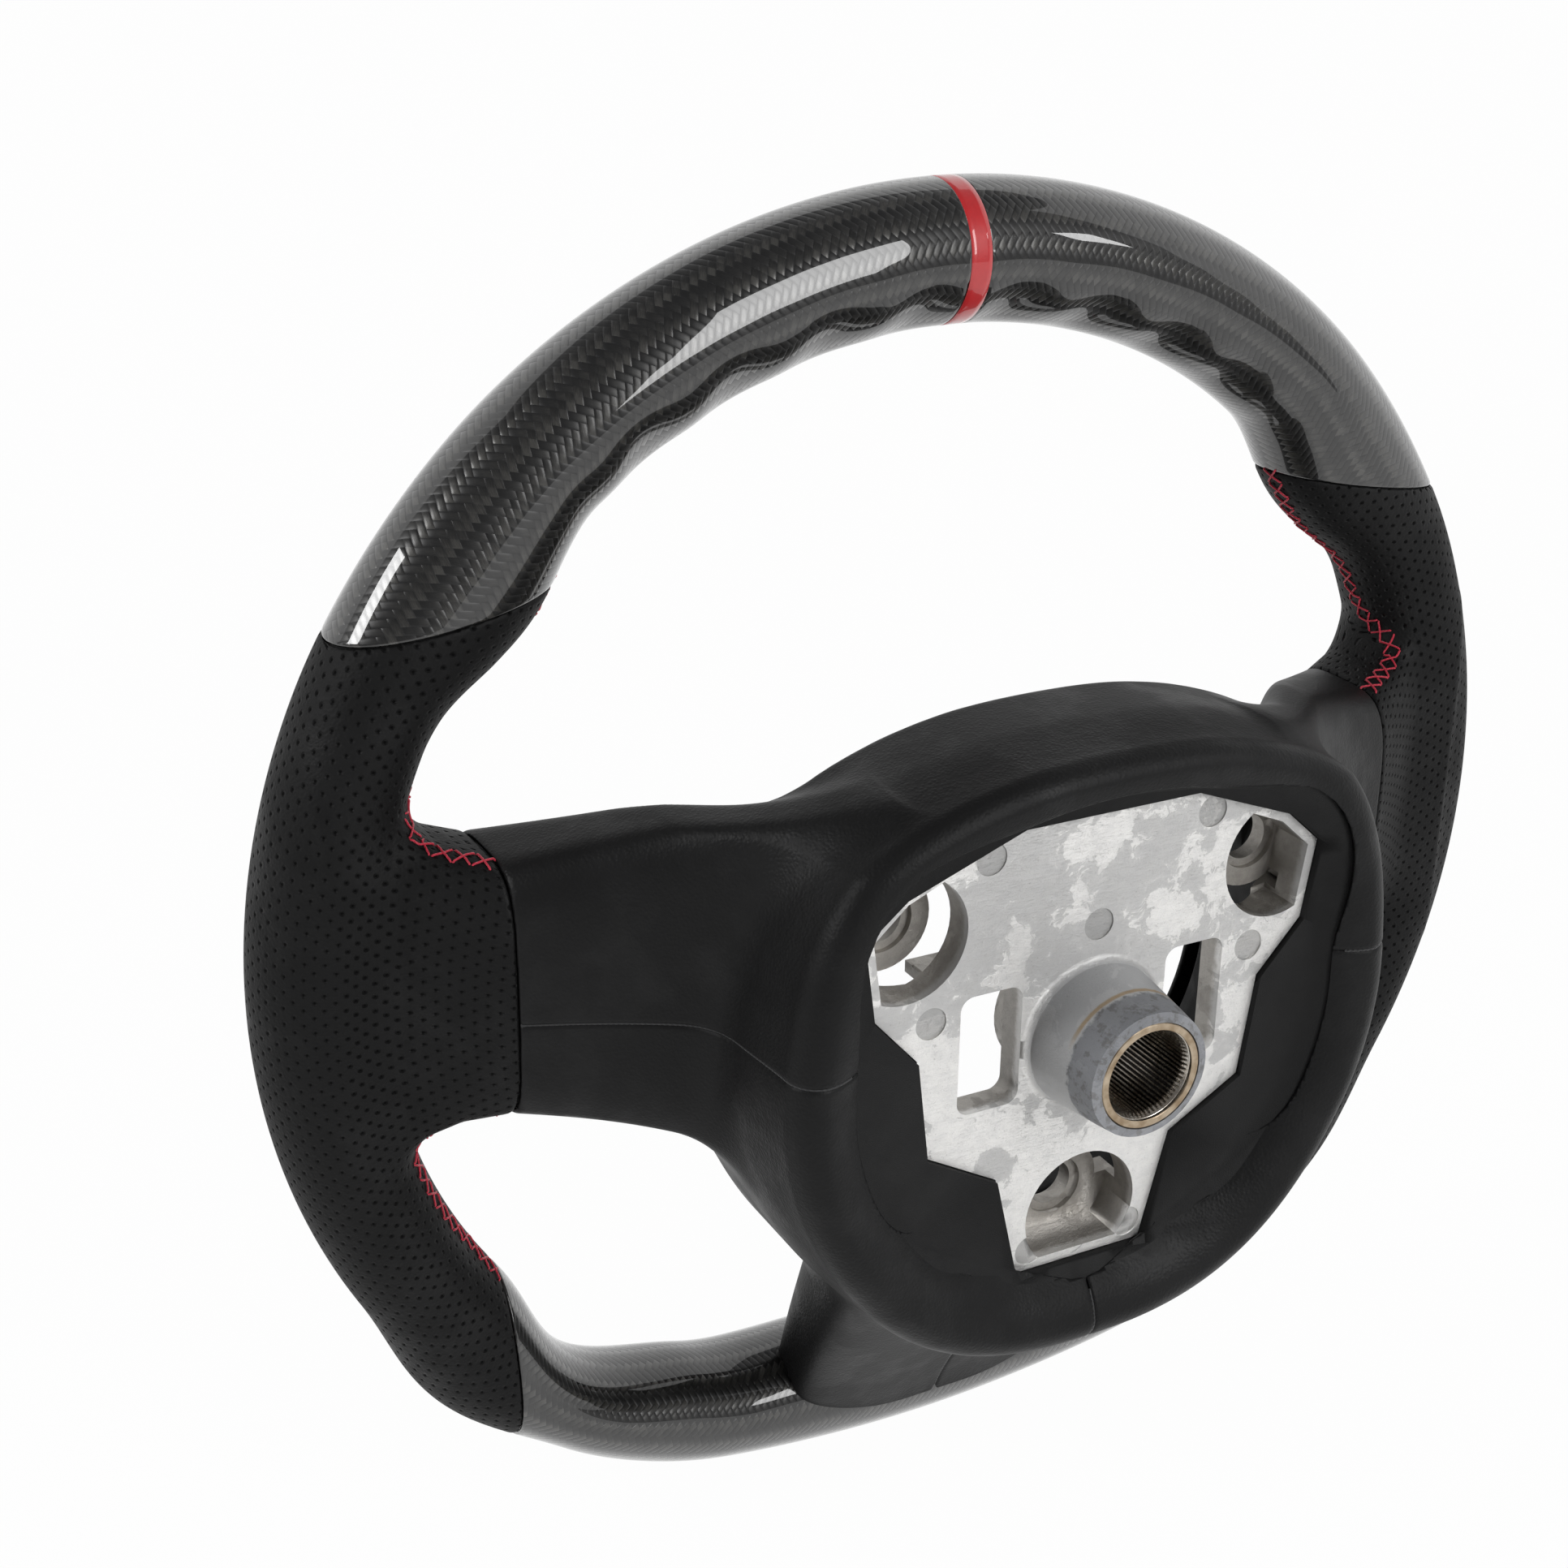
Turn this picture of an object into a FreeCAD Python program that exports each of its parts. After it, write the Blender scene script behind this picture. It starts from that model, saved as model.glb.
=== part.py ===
import FreeCAD, Part
import math
import os
import Sketcher
from FreeCAD import Placement, Rotation, Vector

# A road-car style steering wheel as the column sees it: a carbon and leather rim on a
# die-cast armature whose boss carries a steel insert, with a plain bore at its spline's tip radius.
#
# Frame, in millimetres: the column axis is Y, +Y points back towards the column, +Z points
# to twelve o'clock and +X to the driver's right. The origin is the middle of the boss's end
# face. Shapes are drawn from the rim plane, which lies hub_depth in front of that face, and
# every piece is then placed back by that distance.

SIZES = (
    # rim
    ("rim_outer_radius", 182.5),
    ("rim_tube_radius", 17.6),
    ("rim_centre_height", 8.1),
    ("bottom_drop", "=rim_outer_radius - 29.6"),
    ("bottom_arc_radius", 360.0),
    ("corner_radius", 100.0),
    ("thumb_swell", 5.8),
    ("grip_thinning", 3.7),
    ("corner_notch", 7.5),
    ("heel_swell", 4.5),
    ("finger_wave_depth", 1.6),
    ("finger_wave_pitch", 9.5),
    ("upper_joint_height", "=rim_outer_radius * 0.4959"),
    ("upper_joint_reach", "=rim_outer_radius - 25.5"),
    ("upper_joint_slope", 8.5),
    ("lower_joint_reach", "=rim_outer_radius - 57.5"),
    ("joint_gap", 0.2),
    ("fit_gap", 0.15),
    ("carbon_wall", 1.8),
    ("leather_wall", 1.4),
    ("core_ring_radius", 6.0),
    ("stripe_width", 5.8),
    ("stripe_depth", 0.6),
    ("seam_width", 5.0),
    ("seam_height", 0.8),
    # spokes
    ("spoke_joint_reach", "=rim_outer_radius - 54.5"),
    ("spoke_root_reach", 56.0),
    ("spoke_joint_top", 47.0),
    ("spoke_joint_low", 19.5),
    ("spoke_joint_front", 8.0),
    ("spoke_joint_rear", 33.0),
    ("spoke_root_top", 70.0),
    ("spoke_root_low", 36.0),
    ("spoke_root_front", 46.0),
    ("spoke_root_rear", 78.0),
    ("tongue_drop", "=bottom_drop - 0.4"),
    ("tongue_half_width", 44.0),
    ("tongue_length", "=tongue_drop - 60.5"),
    ("tongue_rear", 16.0),
    ("tongue_thickness", 22.0),
    ("tongue_root_thickness", 50.0),
    # hub cover
    ("hub_depth", 105.2),
    ("collar_depth", 91.0),
    ("collar_radius", 80.0),
    ("collar_shoulder", 4.2),
    ("collar_chin", 2.4),
    ("collar_flat", 3.0),
    ("collar_dish", 3.0),
    ("bowl_front", 40.0),
    ("bowl_flare", 6.0),
    ("recess_radius", 69.0),
    ("recess_shoulder", 9.5),
    ("recess_chin", -2.4),
    ("recess_draft", 3.5),
    ("cavity_radius", 64.5),
    ("cavity_shoulder", 8.0),
    ("skin_proud", 1.5),
    ("cover_seam_height", 9.0),
    ("cover_seam_width", 1.2),
    ("cover_seam_proud", 0.2),
    ("seam_slit", 0.2),
    ("switch_pocket_length", 68.0),
    ("switch_pocket_height", 36.0),
    ("switch_pocket_depth", 8.0),
    # armature casting
    ("plate_depth", 81.0),
    ("plate_thickness", 8.0),
    ("plate_top_height", 59.6),
    ("plate_top_half", 24.0),
    ("ear_top_height", 47.0),
    ("ear_top_half", 54.0),
    ("ear_side_height", 38.0),
    ("ear_side_half", 64.0),
    ("ear_low_height", 17.5),
    ("ear_low_half", 61.0),
    ("waist_height", 4.0),
    ("waist_half", 49.0),
    ("belly_drop", 23.0),
    ("belly_half", 45.5),
    ("neck_drop", 34.5),
    ("neck_half", 25.5),
    ("foot_drop", 63.5),
    ("foot_half", 18.5),
    ("boss_base_radius", 17.7),
    ("boss_end_radius", 14.8),
    ("boss_fillet", 3.0),
    ("boss_front_radius", 17.0),
    ("boss_front_length", 9.0),
    ("window_inner", 20.5),
    ("window_outer", 37.5),
    ("window_top", 17.4),
    ("window_drop", 14.0),
    ("pocket_radius", 16.0),
    ("pocket_reach", 52.5),
    ("pocket_height", 35.6),
    ("pocket_wall", 2.5),
    ("pocket_turn", 38.0),
    ("foot_pocket_drop", 50.0),
    ("seat_radius", 12.7),
    ("seat_step", 12.0),
    ("seat_thickness", 6.0),
    ("pin_hole_radius", 6.0),
    ("pin_step_radius", 8.0),
    ("pin_step_depth", 1.5),
    ("window_corner", 3.5),
    ("ejector_radius", 4.1),
    ("ejector_depth", 0.4),
    ("rib_thickness", 3.0),
    ("rib_height", 7.0),
    ("arm_width", 26.0),
    ("arm_thickness", 8.0),
    # spline insert
    ("insert_radius", 13.8),
    ("insert_mouth_radius", 12.3),
    ("insert_length", 34.0),
    ("lead_in", 2.0),
    ("spline_tip_radius", 10.6),
    ("insert_web", 6.0),
    ("pilot_depth", 1.2),
    ("bolt_hole_radius", 6.5),
    ("bolt_clearance", 2.0),
)

doc = FreeCAD.newDocument("SteeringWheel")
sheet = doc.addObject("Spreadsheet::Sheet", "Sizes")
for row, (alias, amount) in enumerate(SIZES, 1):
    sheet.set("A%d" % row, alias)
    sheet.setAlias("B%d" % row, alias)
    sheet.set("B%d" % row, str(amount))
doc.recompute()


def size(alias):
    """Read one driving dimension back from the sheet."""
    return float(sheet.get(alias))


def bind(thing, **expressions):
    """Bind properties of a document object to the sheet, dots written as double underscores."""
    for name, expression in expressions.items():
        thing.setExpression(name.replace("__", "."), expression)


def make(kind, name, **expressions):
    """Add a document object and bind its sizes."""
    thing = doc.addObject(kind, name)
    bind(thing, **expressions)
    return thing


parts = []


def sub_part(thing, label):
    """Name a finished sub-part and set it back from the rim plane to the boss's end face."""
    thing.Label = label
    bind(thing, Placement__Base__y="-Sizes.hub_depth")
    parts.append(thing)
    return thing


def shape_part(label, shape):
    """A sub-part whose freeform shape is worked out from the sheet."""
    thing = doc.addObject("Part::Feature", label + "_form")
    thing.Shape = shape
    return sub_part(thing, label)


# ---------------------------------------------------------------- curves of the rim

RIM_CENTRE = Vector(0, 0, size("rim_centre_height"))
TUBE = size("rim_tube_radius")
RING = size("rim_outer_radius") - TUBE
SECTION_POINTS = 12


def ramp(amount, start, end):
    """Ease from 0 at start to 1 at end."""
    share = min(max((amount - start) / (end - start), 0.0), 1.0)
    return share * share * (3 - 2 * share)


def bump(amount, middle, reach):
    """A rounded hump of height 1 at the middle that ends a reach away on both sides."""
    distance = min(abs(amount - middle) / reach, 1.0)
    return math.cos(math.pi / 2 * distance) ** 2


def ray_to_circle(sine, cosine, centre_x, centre_z, radius):
    """Distance from the rim's centre along a ray to a circle that it starts inside."""
    along = sine * centre_x + cosine * centre_z
    return along + math.sqrt(along ** 2 - centre_x ** 2 - centre_z ** 2 + radius ** 2)


def folded(angle):
    """The matching angle between twelve and six o'clock, as both sides are alike."""
    return 180 - abs(180 - abs(angle))


def ring_radius(angle):
    """Distance of the tube's centre line: a circle, a corner arc and a shallow bottom arc."""
    turn = math.radians(folded(angle))
    sine, cosine = math.sin(turn), math.cos(turn)
    corner = size("corner_radius")
    bottom = size("bottom_arc_radius")
    bottom_z = bottom - size("bottom_drop")
    near, far = RING - corner, bottom - corner
    corner_z = (bottom_z ** 2 + near ** 2 - far ** 2) / (2 * bottom_z)
    corner_x = math.sqrt(near ** 2 - corner_z ** 2)
    corner_start = math.acos(corner_z / near)
    foot_x = corner_x * bottom / far
    foot_z = bottom_z + (corner_z - bottom_z) * bottom / far
    if turn <= corner_start:
        return RING
    if turn <= math.atan2(foot_x, foot_z):
        return ray_to_circle(sine, cosine, corner_x, corner_z, corner)
    return ray_to_circle(sine, cosine, 0.0, bottom_z, bottom)


def rim_radii(angle):
    """Inner and outer radius of the covered rim at an angle from twelve o'clock."""
    turn = folded(angle)
    middle = ring_radius(turn)
    gripped = ramp(turn, 56, 66) * (1 - ramp(turn, 152, 172))
    inner = middle - TUBE + size("grip_thinning") * gripped
    inner += size("corner_notch") * bump(turn, 139, 14)
    inner -= size("thumb_swell") * bump(turn, 51, 12)
    outer = middle + TUBE + size("heel_swell") * bump(turn, 130, 12)
    return inner, outer


def finger_wave(angle, around):
    """How far the finger waves sink at a place on the rear inner quarter of the section."""
    turn = folded(angle)
    reach = 1 - ramp(turn, 34, 44)
    ripple = (1 - math.cos(2 * math.pi * turn / size("finger_wave_pitch"))) / 2
    return size("finger_wave_depth") * ripple * reach * bump(around, 132, 44)


def closed_curve(points):
    """A smooth closed wire through the points."""
    curve = Part.BSplineCurve()
    curve.interpolate(Points=points, PeriodicFlag=True)
    return Part.Wire([curve.toShape()])


def rim_section(angle, skin):
    """Closed section of the rim in the half plane at an angle, grown by skin."""
    turn = math.radians(angle)
    radial = Vector(math.sin(turn), 0, math.cos(turn))
    inner, outer = rim_radii(angle)
    middle = RIM_CENTRE + radial * ((inner + outer) / 2)
    points = []
    for step in range(SECTION_POINTS):
        around = 360.0 * step / SECTION_POINTS
        sink = finger_wave(angle, around)
        half = (outer - inner) / 2 + skin - sink
        deep = TUBE + skin - sink
        sideways = radial * (half * math.cos(math.radians(around)))
        points.append(middle + sideways + Vector(0, deep * math.sin(math.radians(around)), 0))
    return closed_curve(points)


def rim_form(start, end, steps, skin):
    """A solid stretch of rim between two angles."""
    angles = [start + (end - start) * step / steps for step in range(steps + 1)]
    return Part.makeLoft([rim_section(angle, skin) for angle in angles], True)


def block(x0, x1, y0, y1, z0, z1):
    """An axis-aligned box between two corners."""
    return Part.makeBox(x1 - x0, y1 - y0, z1 - z0, Vector(x0, y0, z0))


def mirrored(shape):
    """The same shape on the other side of the wheel."""
    return shape.mirror(Vector(0, 0, 0), Vector(1, 0, 0))


BIG = 2 * size("rim_outer_radius")


def upper_joint_block(above, gap):
    """Everything above or below the slanted joint between the carbon top and a grip."""
    low, high = (-gap, BIG) if above else (-BIG, gap)
    reach = size("upper_joint_reach")
    slab = block(-reach, BIG - reach, -BIG, BIG, low, high)
    height = RIM_CENTRE.z + size("upper_joint_height")
    tilt = Rotation(Vector(0, 1, 0), size("upper_joint_slope"))
    slab.Placement = Placement(Vector(reach, 0, height), tilt)
    return slab.common(block(0, BIG, -BIG, BIG, -BIG, BIG))


def lower_joint_block(gap):
    """The room between the two lower joints, where the bottom carbon section goes."""
    reach = size("lower_joint_reach") - gap
    return block(-reach, reach, -BIG, BIG, -BIG, -size("rim_outer_radius") / 3)


# ---------------------------------------------------------------- spokes, hub and covers

def rounded_section(points_from, first, second, half_first, half_second):
    """Closed rounded rectangle; points_from turns two local lengths into a point."""
    points = []
    for step in range(16):
        turn = 2 * math.pi * (step + 0.5) / 16
        across = math.copysign(abs(math.cos(turn)) ** 0.5, math.cos(turn))
        along = math.copysign(abs(math.sin(turn)) ** 0.5, math.sin(turn))
        points.append(points_from(first + half_first * across, second + half_second * along))
    return closed_curve(points)


def between(start, end, share):
    """Straight interpolation."""
    return start + (end - start) * share


def spoke_section(reach, skin):
    """Section of the +X spoke across X, sloping back from the rim to the hub."""
    joint, root = size("spoke_joint_reach"), size("spoke_root_reach")
    share = (joint - reach) / (joint - root)
    front = between(-size("spoke_joint_front"), size("spoke_root_front"), share)
    sag = 5.0 * math.sin(math.pi * min(max(share, 0.0), 1.0))
    rear = between(size("spoke_joint_rear"), size("spoke_root_rear"), share) - sag
    top = between(size("spoke_joint_top"), size("spoke_root_top"), share) - 0.3 * sag
    low = between(-size("spoke_joint_low"), -size("spoke_root_low"), share) + 0.6 * sag

    def place(depth, height):
        return Vector(reach, depth, height)

    middle = ((front + rear) / 2, (low + top) / 2)
    halves = ((rear - front) / 2 + skin, (top - low) / 2 + skin)
    return rounded_section(place, *middle, *halves)


def spoke_form(skin):
    """The +X spoke from its joint with the grip to inside the hub."""
    joint = size("spoke_joint_reach") - size("joint_gap") / 2
    root = size("spoke_root_reach")
    reaches = [joint + (root - joint) * step / 4 for step in range(5)]
    return Part.makeLoft([spoke_section(reach, skin) for reach in reaches], True)


def stub_form(skin):
    """The short leather-covered root of the spoke that grows out of the grip."""
    joint = size("spoke_joint_reach") + size("joint_gap") / 2
    tube_inner = rim_radii(90)[0]
    sections = [spoke_section(joint, skin)]
    for share, spread in ((0.45, 2.5), (1.0, 9.0), (1.5, 13.0)):
        reach = between(joint, tube_inner, share)
        top = size("spoke_joint_top") + spread
        low = -size("spoke_joint_low") - spread * 1.2
        rear = between(size("spoke_joint_rear"), TUBE + 1, min(share, 1.0))
        front = between(-size("spoke_joint_front"), 1 - TUBE, min(share, 1.0))
        if share > 1:
            rear, front = TUBE - 2, 2 - TUBE

        def place(depth, height, at=reach):
            return Vector(at, depth, height)

        middle = ((front + rear) / 2, (low + top) / 2)
        halves = ((rear - front) / 2 + skin, (top - low) / 2 + skin)
        sections.append(rounded_section(place, *middle, *halves))
    return Part.makeLoft(sections, True)


def lower_spoke_form(skin):
    """The six o'clock spoke, from a tongue on the rim's rear face up into the hub."""
    drop = size("tongue_drop")
    wide = size("tongue_half_width")
    length = size("tongue_length")
    sections = []
    for step in range(11):
        share = step / 10
        down = drop - length * share
        half = wide * (1 + 0.22 * share ** 2 - 0.52 * (1 - ramp(share, -0.12, 0.2)))
        rear = size("tongue_rear") + length * 0.7 * share ** 1.3
        thick = between(size("tongue_thickness"), size("tongue_root_thickness"), share)

        def place(width, depth, at=-down):
            return Vector(width, depth, at)

        deep = thick / 2
        sections.append(rounded_section(place, 0.0, rear - deep, half + skin, deep + skin))
    return Part.makeLoft(sections, True)


def hub_outline(radius, shoulder, chin, flat, depth):
    """A closed round outline about the column axis: two shoulders, a chin and a flatter top."""
    points = []
    for step in range(24):
        around = 15.0 * step
        turn = math.radians(around)
        lobes = bump(around, 38, 33) + bump(around, 142, 33)
        corners = bump(around, 240, 35) + bump(around, 300, 35)
        reach = radius + shoulder * lobes + chin * corners - flat * bump(around, 90, 30)
        points.append(Vector(reach * math.cos(turn), depth, reach * math.sin(turn)))
    return closed_curve(points)


def bowl_form(skin):
    """The round hub with its flared flank and rounded collar."""
    radius = size("collar_radius")
    lobes = (size("collar_shoulder"), size("collar_chin"), size("collar_flat"))
    front, crest, flare = size("bowl_front"), size("collar_depth"), size("bowl_flare")
    rows = (
        (front - skin, flare),
        (between(front, crest, 0.5), 0.9 * flare),
        (between(front, crest, 0.78), 0.7 * flare),
        (crest - 3.5 + skin, 0.1 * flare),
        (crest + skin, -4.0),
    )
    bowl = Part.makeLoft(
        [hub_outline(radius + grow + skin, *lobes, depth) for depth, grow in rows], True)
    dip = size("collar_dish")
    dish = Part.makeLoft([
        hub_outline(radius - 18, *lobes, crest - 2 * dip + skin),
        hub_outline(radius - 1, *lobes, crest + 0.4 + skin),
        ], True, True)
    return bowl.cut(dish)


def hub_form(skin):
    """Outer form of the hub with its three spokes."""
    spoke = spoke_form(skin)
    return bowl_form(skin).multiFuse([spoke, mirrored(spoke), lower_spoke_form(skin)])


def recess_form(skin):
    """The drafted opening in the rear of the collar, down to the skin round the plate."""
    floor = size("plate_depth") + size("skin_proud")
    edge = size("collar_depth") - size("collar_dish")
    draft = size("recess_draft") / (edge - floor)
    radius = size("recess_radius") - skin
    lobes = (size("recess_shoulder"), size("recess_chin"), 1.0)
    rows = [hub_outline(radius + draft * (depth - edge), *lobes, depth)
            for depth in (floor, edge + 6)]
    return Part.makeLoft(rows, True, True)


def cavity_form(skin):
    """The room for an airbag module in front of the plate."""
    back = size("plate_depth") - size("plate_thickness") - 1.0 - skin
    outline = hub_outline(size("cavity_radius") - skin, size("cavity_shoulder"), 0.0, 0.0, back)
    return Part.Face(outline).extrude(Vector(0, -2 * size("hub_depth"), 0))


def longest(shape):
    """The largest of the solids in a shape."""
    return max(shape.Solids, key=lambda solid: solid.Volume)


def behind_spokes(x0, x1):
    """Everything on the rear side of the spokes' middle between two reaches."""
    joint, root = size("spoke_joint_reach"), size("spoke_root_reach")
    at_joint = (size("spoke_joint_rear") - size("spoke_joint_front")) / 2
    at_root = (size("spoke_root_rear") + size("spoke_root_front")) / 2
    corners = [Vector(BIG, at_joint, -BIG), Vector(joint, at_joint, -BIG),
               Vector(root, at_root, -BIG), Vector(0, at_root, -BIG), Vector(0, BIG, -BIG),
               Vector(BIG, BIG, -BIG)]
    half = Part.Face(Part.makePolygon(corners + corners[:1])).extrude(Vector(0, 0, 2 * BIG))
    return half.fuse(mirrored(half)).common(block(x0, x1, -BIG, BIG, -BIG, BIG))


def switch_pocket(skin):
    """The tray for a switch module in the front of the +X spoke."""
    length, height = size("switch_pocket_length"), size("switch_pocket_height")
    joint, root = size("spoke_joint_reach"), size("spoke_root_reach")
    rise = size("spoke_root_front") + size("spoke_joint_front")
    lean = math.degrees(math.atan2(rise, joint - root))
    middle = between(root, joint, 0.5)
    depth = between(size("spoke_root_front"), -size("spoke_joint_front"), 0.5)
    pocket = block(-length / 2 - skin, length / 2 + skin, -BIG, size("switch_pocket_depth") + skin,
                   -height / 2 - skin, height / 2 + skin)
    pocket = pocket.makeFillet(4.0, [edge for edge in pocket.Edges if edge.Length > BIG / 2])
    pocket.Placement = Placement(Vector(middle, depth, 14.0), Rotation(Vector(0, 0, 1), -lean))
    return pocket


# ---------------------------------------------------------------- armature casting

def along_y(thing, depth):
    """Lay a primitive's axis along +Y and start it at a bound depth."""
    thing.Placement = Placement(Vector(0, 0, 0), Rotation(Vector(1, 0, 0), -90))
    bind(thing, Placement__Base__y=depth)


def round_bar(name, radius, depth, height, reach="0", lift="0"):
    """A cylinder along Y with every size and place bound."""
    bar = make("Part::Cylinder", name, Radius=radius, Height=height)
    along_y(bar, depth)
    bind(bar, Placement__Base__x=reach, Placement__Base__z=lift)
    return bar


def box_between(name, x0, x1, y0, y1, z0, z1):
    """A box bound to six expressions."""
    return make("Part::Box", name, Length="(%s) - (%s)" % (x1, x0), Width="(%s) - (%s)" % (y1, y0),
                Height="(%s) - (%s)" % (z1, z0), Placement__Base__x=x0, Placement__Base__y=y0,
                Placement__Base__z=z0)


def extruded_outline(name, corners, depth, length):
    """Extrude a closed outline of bound corners (X and Z expressions) along +Y."""
    sketch = doc.addObject("Sketcher::SketchObject", name + "_outline")
    sketch.Placement = Placement(Vector(0, 0, 0), Rotation(Vector(1, 0, 0), 90))
    bind(sketch, Placement__Base__y=depth)
    count = len(corners)
    starts = [Vector(math.cos(2 * math.pi * k / count), math.sin(2 * math.pi * k / count), 0)
              for k in range(count)]
    for k in range(count):
        sketch.addGeometry(Part.LineSegment(starts[k], starts[(k + 1) % count]))
    for k in range(count):
        sketch.addConstraint(Sketcher.Constraint("Coincident", k, 2, (k + 1) % count, 1))
    for k, (across, up) in enumerate(corners):
        for kind, expression in (("DistanceX", across), ("DistanceY", up)):
            index = sketch.addConstraint(Sketcher.Constraint(kind, -1, 1, k, 1, 1.0))
            sketch.setExpression("Constraints[%d]" % index, expression)
    solid = doc.addObject("Part::Extrusion", name)
    solid.Base = sketch
    solid.DirMode = "Custom"
    solid.Dir = Vector(0, 1, 0)
    solid.Solid = True
    bind(solid, LengthFwd=length)
    return solid


def plate_corners():
    """Corners of the hub plate, from the top edge clockwise down the +X side and back."""
    half = [("plate_top_half", "Sizes.plate_top_height"), ("ear_top_half", "Sizes.ear_top_height"),
            ("ear_side_half", "Sizes.ear_side_height"), ("ear_low_half", "Sizes.ear_low_height"),
            ("waist_half", "Sizes.waist_height"), ("belly_half", "-Sizes.belly_drop"),
            ("neck_half", "-Sizes.neck_drop"), ("foot_half", "-Sizes.foot_drop")]
    right = [("Sizes." + across, up) for across, up in half]
    left = [("-Sizes." + across, up) for across, up in reversed(half)]
    return right + left


def fused(name, things):
    """One fused object."""
    fusion = doc.addObject("Part::MultiFuse", name)
    fusion.Shapes = things
    return fusion


def cut(name, base, tool):
    """One object cut by another."""
    result = doc.addObject("Part::Cut", name)
    result.Base = base
    result.Tool = tool
    return result


def arm_form(gap):
    """The three cast arms of the armature, grown by a gap for their channels."""
    half, thick = size("arm_width") / 2 + gap, size("arm_thickness") / 2 + gap
    back = size("plate_depth") - size("plate_thickness") / 2
    seat = size("plate_depth") - size("seat_step") - size("seat_thickness") / 2
    root, joint = size("spoke_root_reach"), size("spoke_joint_reach")

    def bar_section(centre, across, normal, wide):
        corners = [centre + across * (wide * a) + normal * (thick * b)
                   for a, b in ((1, 1), (-1, 1), (-1, -1), (1, -1))]
        return Part.makePolygon(corners + corners[:1])

    up, side = Vector(0, 0, 1), Vector(1, 0, 0)
    slope = Vector(0.5, 0.85, 0).normalize()
    stations = ((size("waist_half"), back, 7.0), (1.3 * root, 0.82 * back, 12.0),
                (0.72 * joint, 0.48 * back, 14.0), (joint, 0.17 * back, 14.0),
                (RING - 4, 0.0, 14.0))
    rows = [bar_section(Vector(reach, depth, height), up, slope, half)
            for reach, depth, height in stations]
    arm = Part.makeLoft(rows, True, True)
    drop = size("bottom_drop") - RIM_CENTRE.z
    slope = Vector(0, 0.85, -0.5).normalize()
    stations = ((size("foot_drop") - 5, seat), (0.55 * drop, 0.7 * back), (0.69 * drop, 0.47 * back),
                (0.9 * drop, 0.17 * back), (drop - 3, 0.0))
    rows = [bar_section(Vector(0, depth, -down), side, slope, 0.9 * size("seat_radius") + gap)
            for down, depth in stations]
    lower = Part.makeLoft(rows, True, True)
    return arm.multiFuse([mirrored(arm), lower])


def ring_form(radius):
    """The cast ring along the rim's centre line."""
    sections = []
    for step in range(25):
        angle = 180.0 * step / 24
        turn = math.radians(angle)
        radial = Vector(math.sin(turn), 0, math.cos(turn))
        spread = size("corner_notch") * 0.7 * bump(angle, 139, 40)
        place = RIM_CENTRE + radial * (ring_radius(angle) + spread)
        along = Vector(math.cos(turn), 0, -math.sin(turn))
        sections.append(Part.Wire([Part.makeCircle(radius, place, along)]))
    half = Part.makeLoft(sections, True)
    return half.fuse(mirrored(half))


def plate_prism(grow, front, rear):
    """The plate's outline grown by an offset and pulled forward and back from its front face."""
    plate = doc.getObject("hub_plate").Shape
    face = [face for face in plate.Faces if face.normalAt(0, 0).y < -0.9][0]
    if grow:
        face = face.makeOffset2D(grow)
    face = face.copy()
    face.translate(Vector(0, -front, 0))
    return face.extrude(Vector(0, front + rear, 0))


def pin_pocket(name, reach, lift, turn, seat_face, seat_back, under_plate, room, solids, holes):
    """Round pocket with a pin seat inside, which is joined to the wall on its outer half."""
    bore = round_bar(name + "_pocket_bore", "Sizes.pocket_radius", seat_face, "Sizes.seat_step + 1",
                     reach, lift)
    pocket = doc.addObject("Part::MultiCommon", name + "_pocket")
    pocket.Shapes = [bore, room]
    disc = round_bar(name + "_seat_disc", "Sizes.seat_radius", seat_back, "Sizes.seat_thickness",
                     reach, lift)
    seat = doc.addObject("Part::MultiCommon", name + "_seat")
    seat.Shapes = [disc, under_plate]
    wide = "(Sizes.pocket_radius + 4)"
    outward = make("Part::Box", name + "_outward", Length=wide, Height="2 * " + wide,
                   Width="Sizes.seat_step + Sizes.seat_thickness")
    outward.Placement = Placement(Vector(0, 0, 0), Rotation(Vector(0, 1, 0), 0))
    bind(outward, Placement__Rotation__Angle="360 - " + turn, Placement__Base__y=seat_back,
         Placement__Base__x="%s + %s * sin(%s)" % (reach, wide, turn),
         Placement__Base__z="%s - %s * cos(%s)" % (lift, wide, turn))
    round_room = round_bar(name + "_round_room", "Sizes.pocket_radius + Sizes.pocket_wall", seat_back,
                           "Sizes.seat_step + Sizes.seat_thickness - 1", reach, lift)
    wall = doc.addObject("Part::MultiCommon", name + "_seat_wall")
    wall.Shapes = [outward, round_room, under_plate]
    hole = round_bar(name + "_pin_hole", "Sizes.pin_hole_radius", seat_back + " - 1",
                     "Sizes.seat_thickness + 2", reach, lift)
    step = round_bar(name + "_pin_step", "Sizes.pin_step_radius", seat_face + " - Sizes.pin_step_depth",
                     "Sizes.pin_step_depth + 1", reach, lift)
    solids.extend([seat, wall])
    holes.extend([pocket, hole, step])


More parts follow.
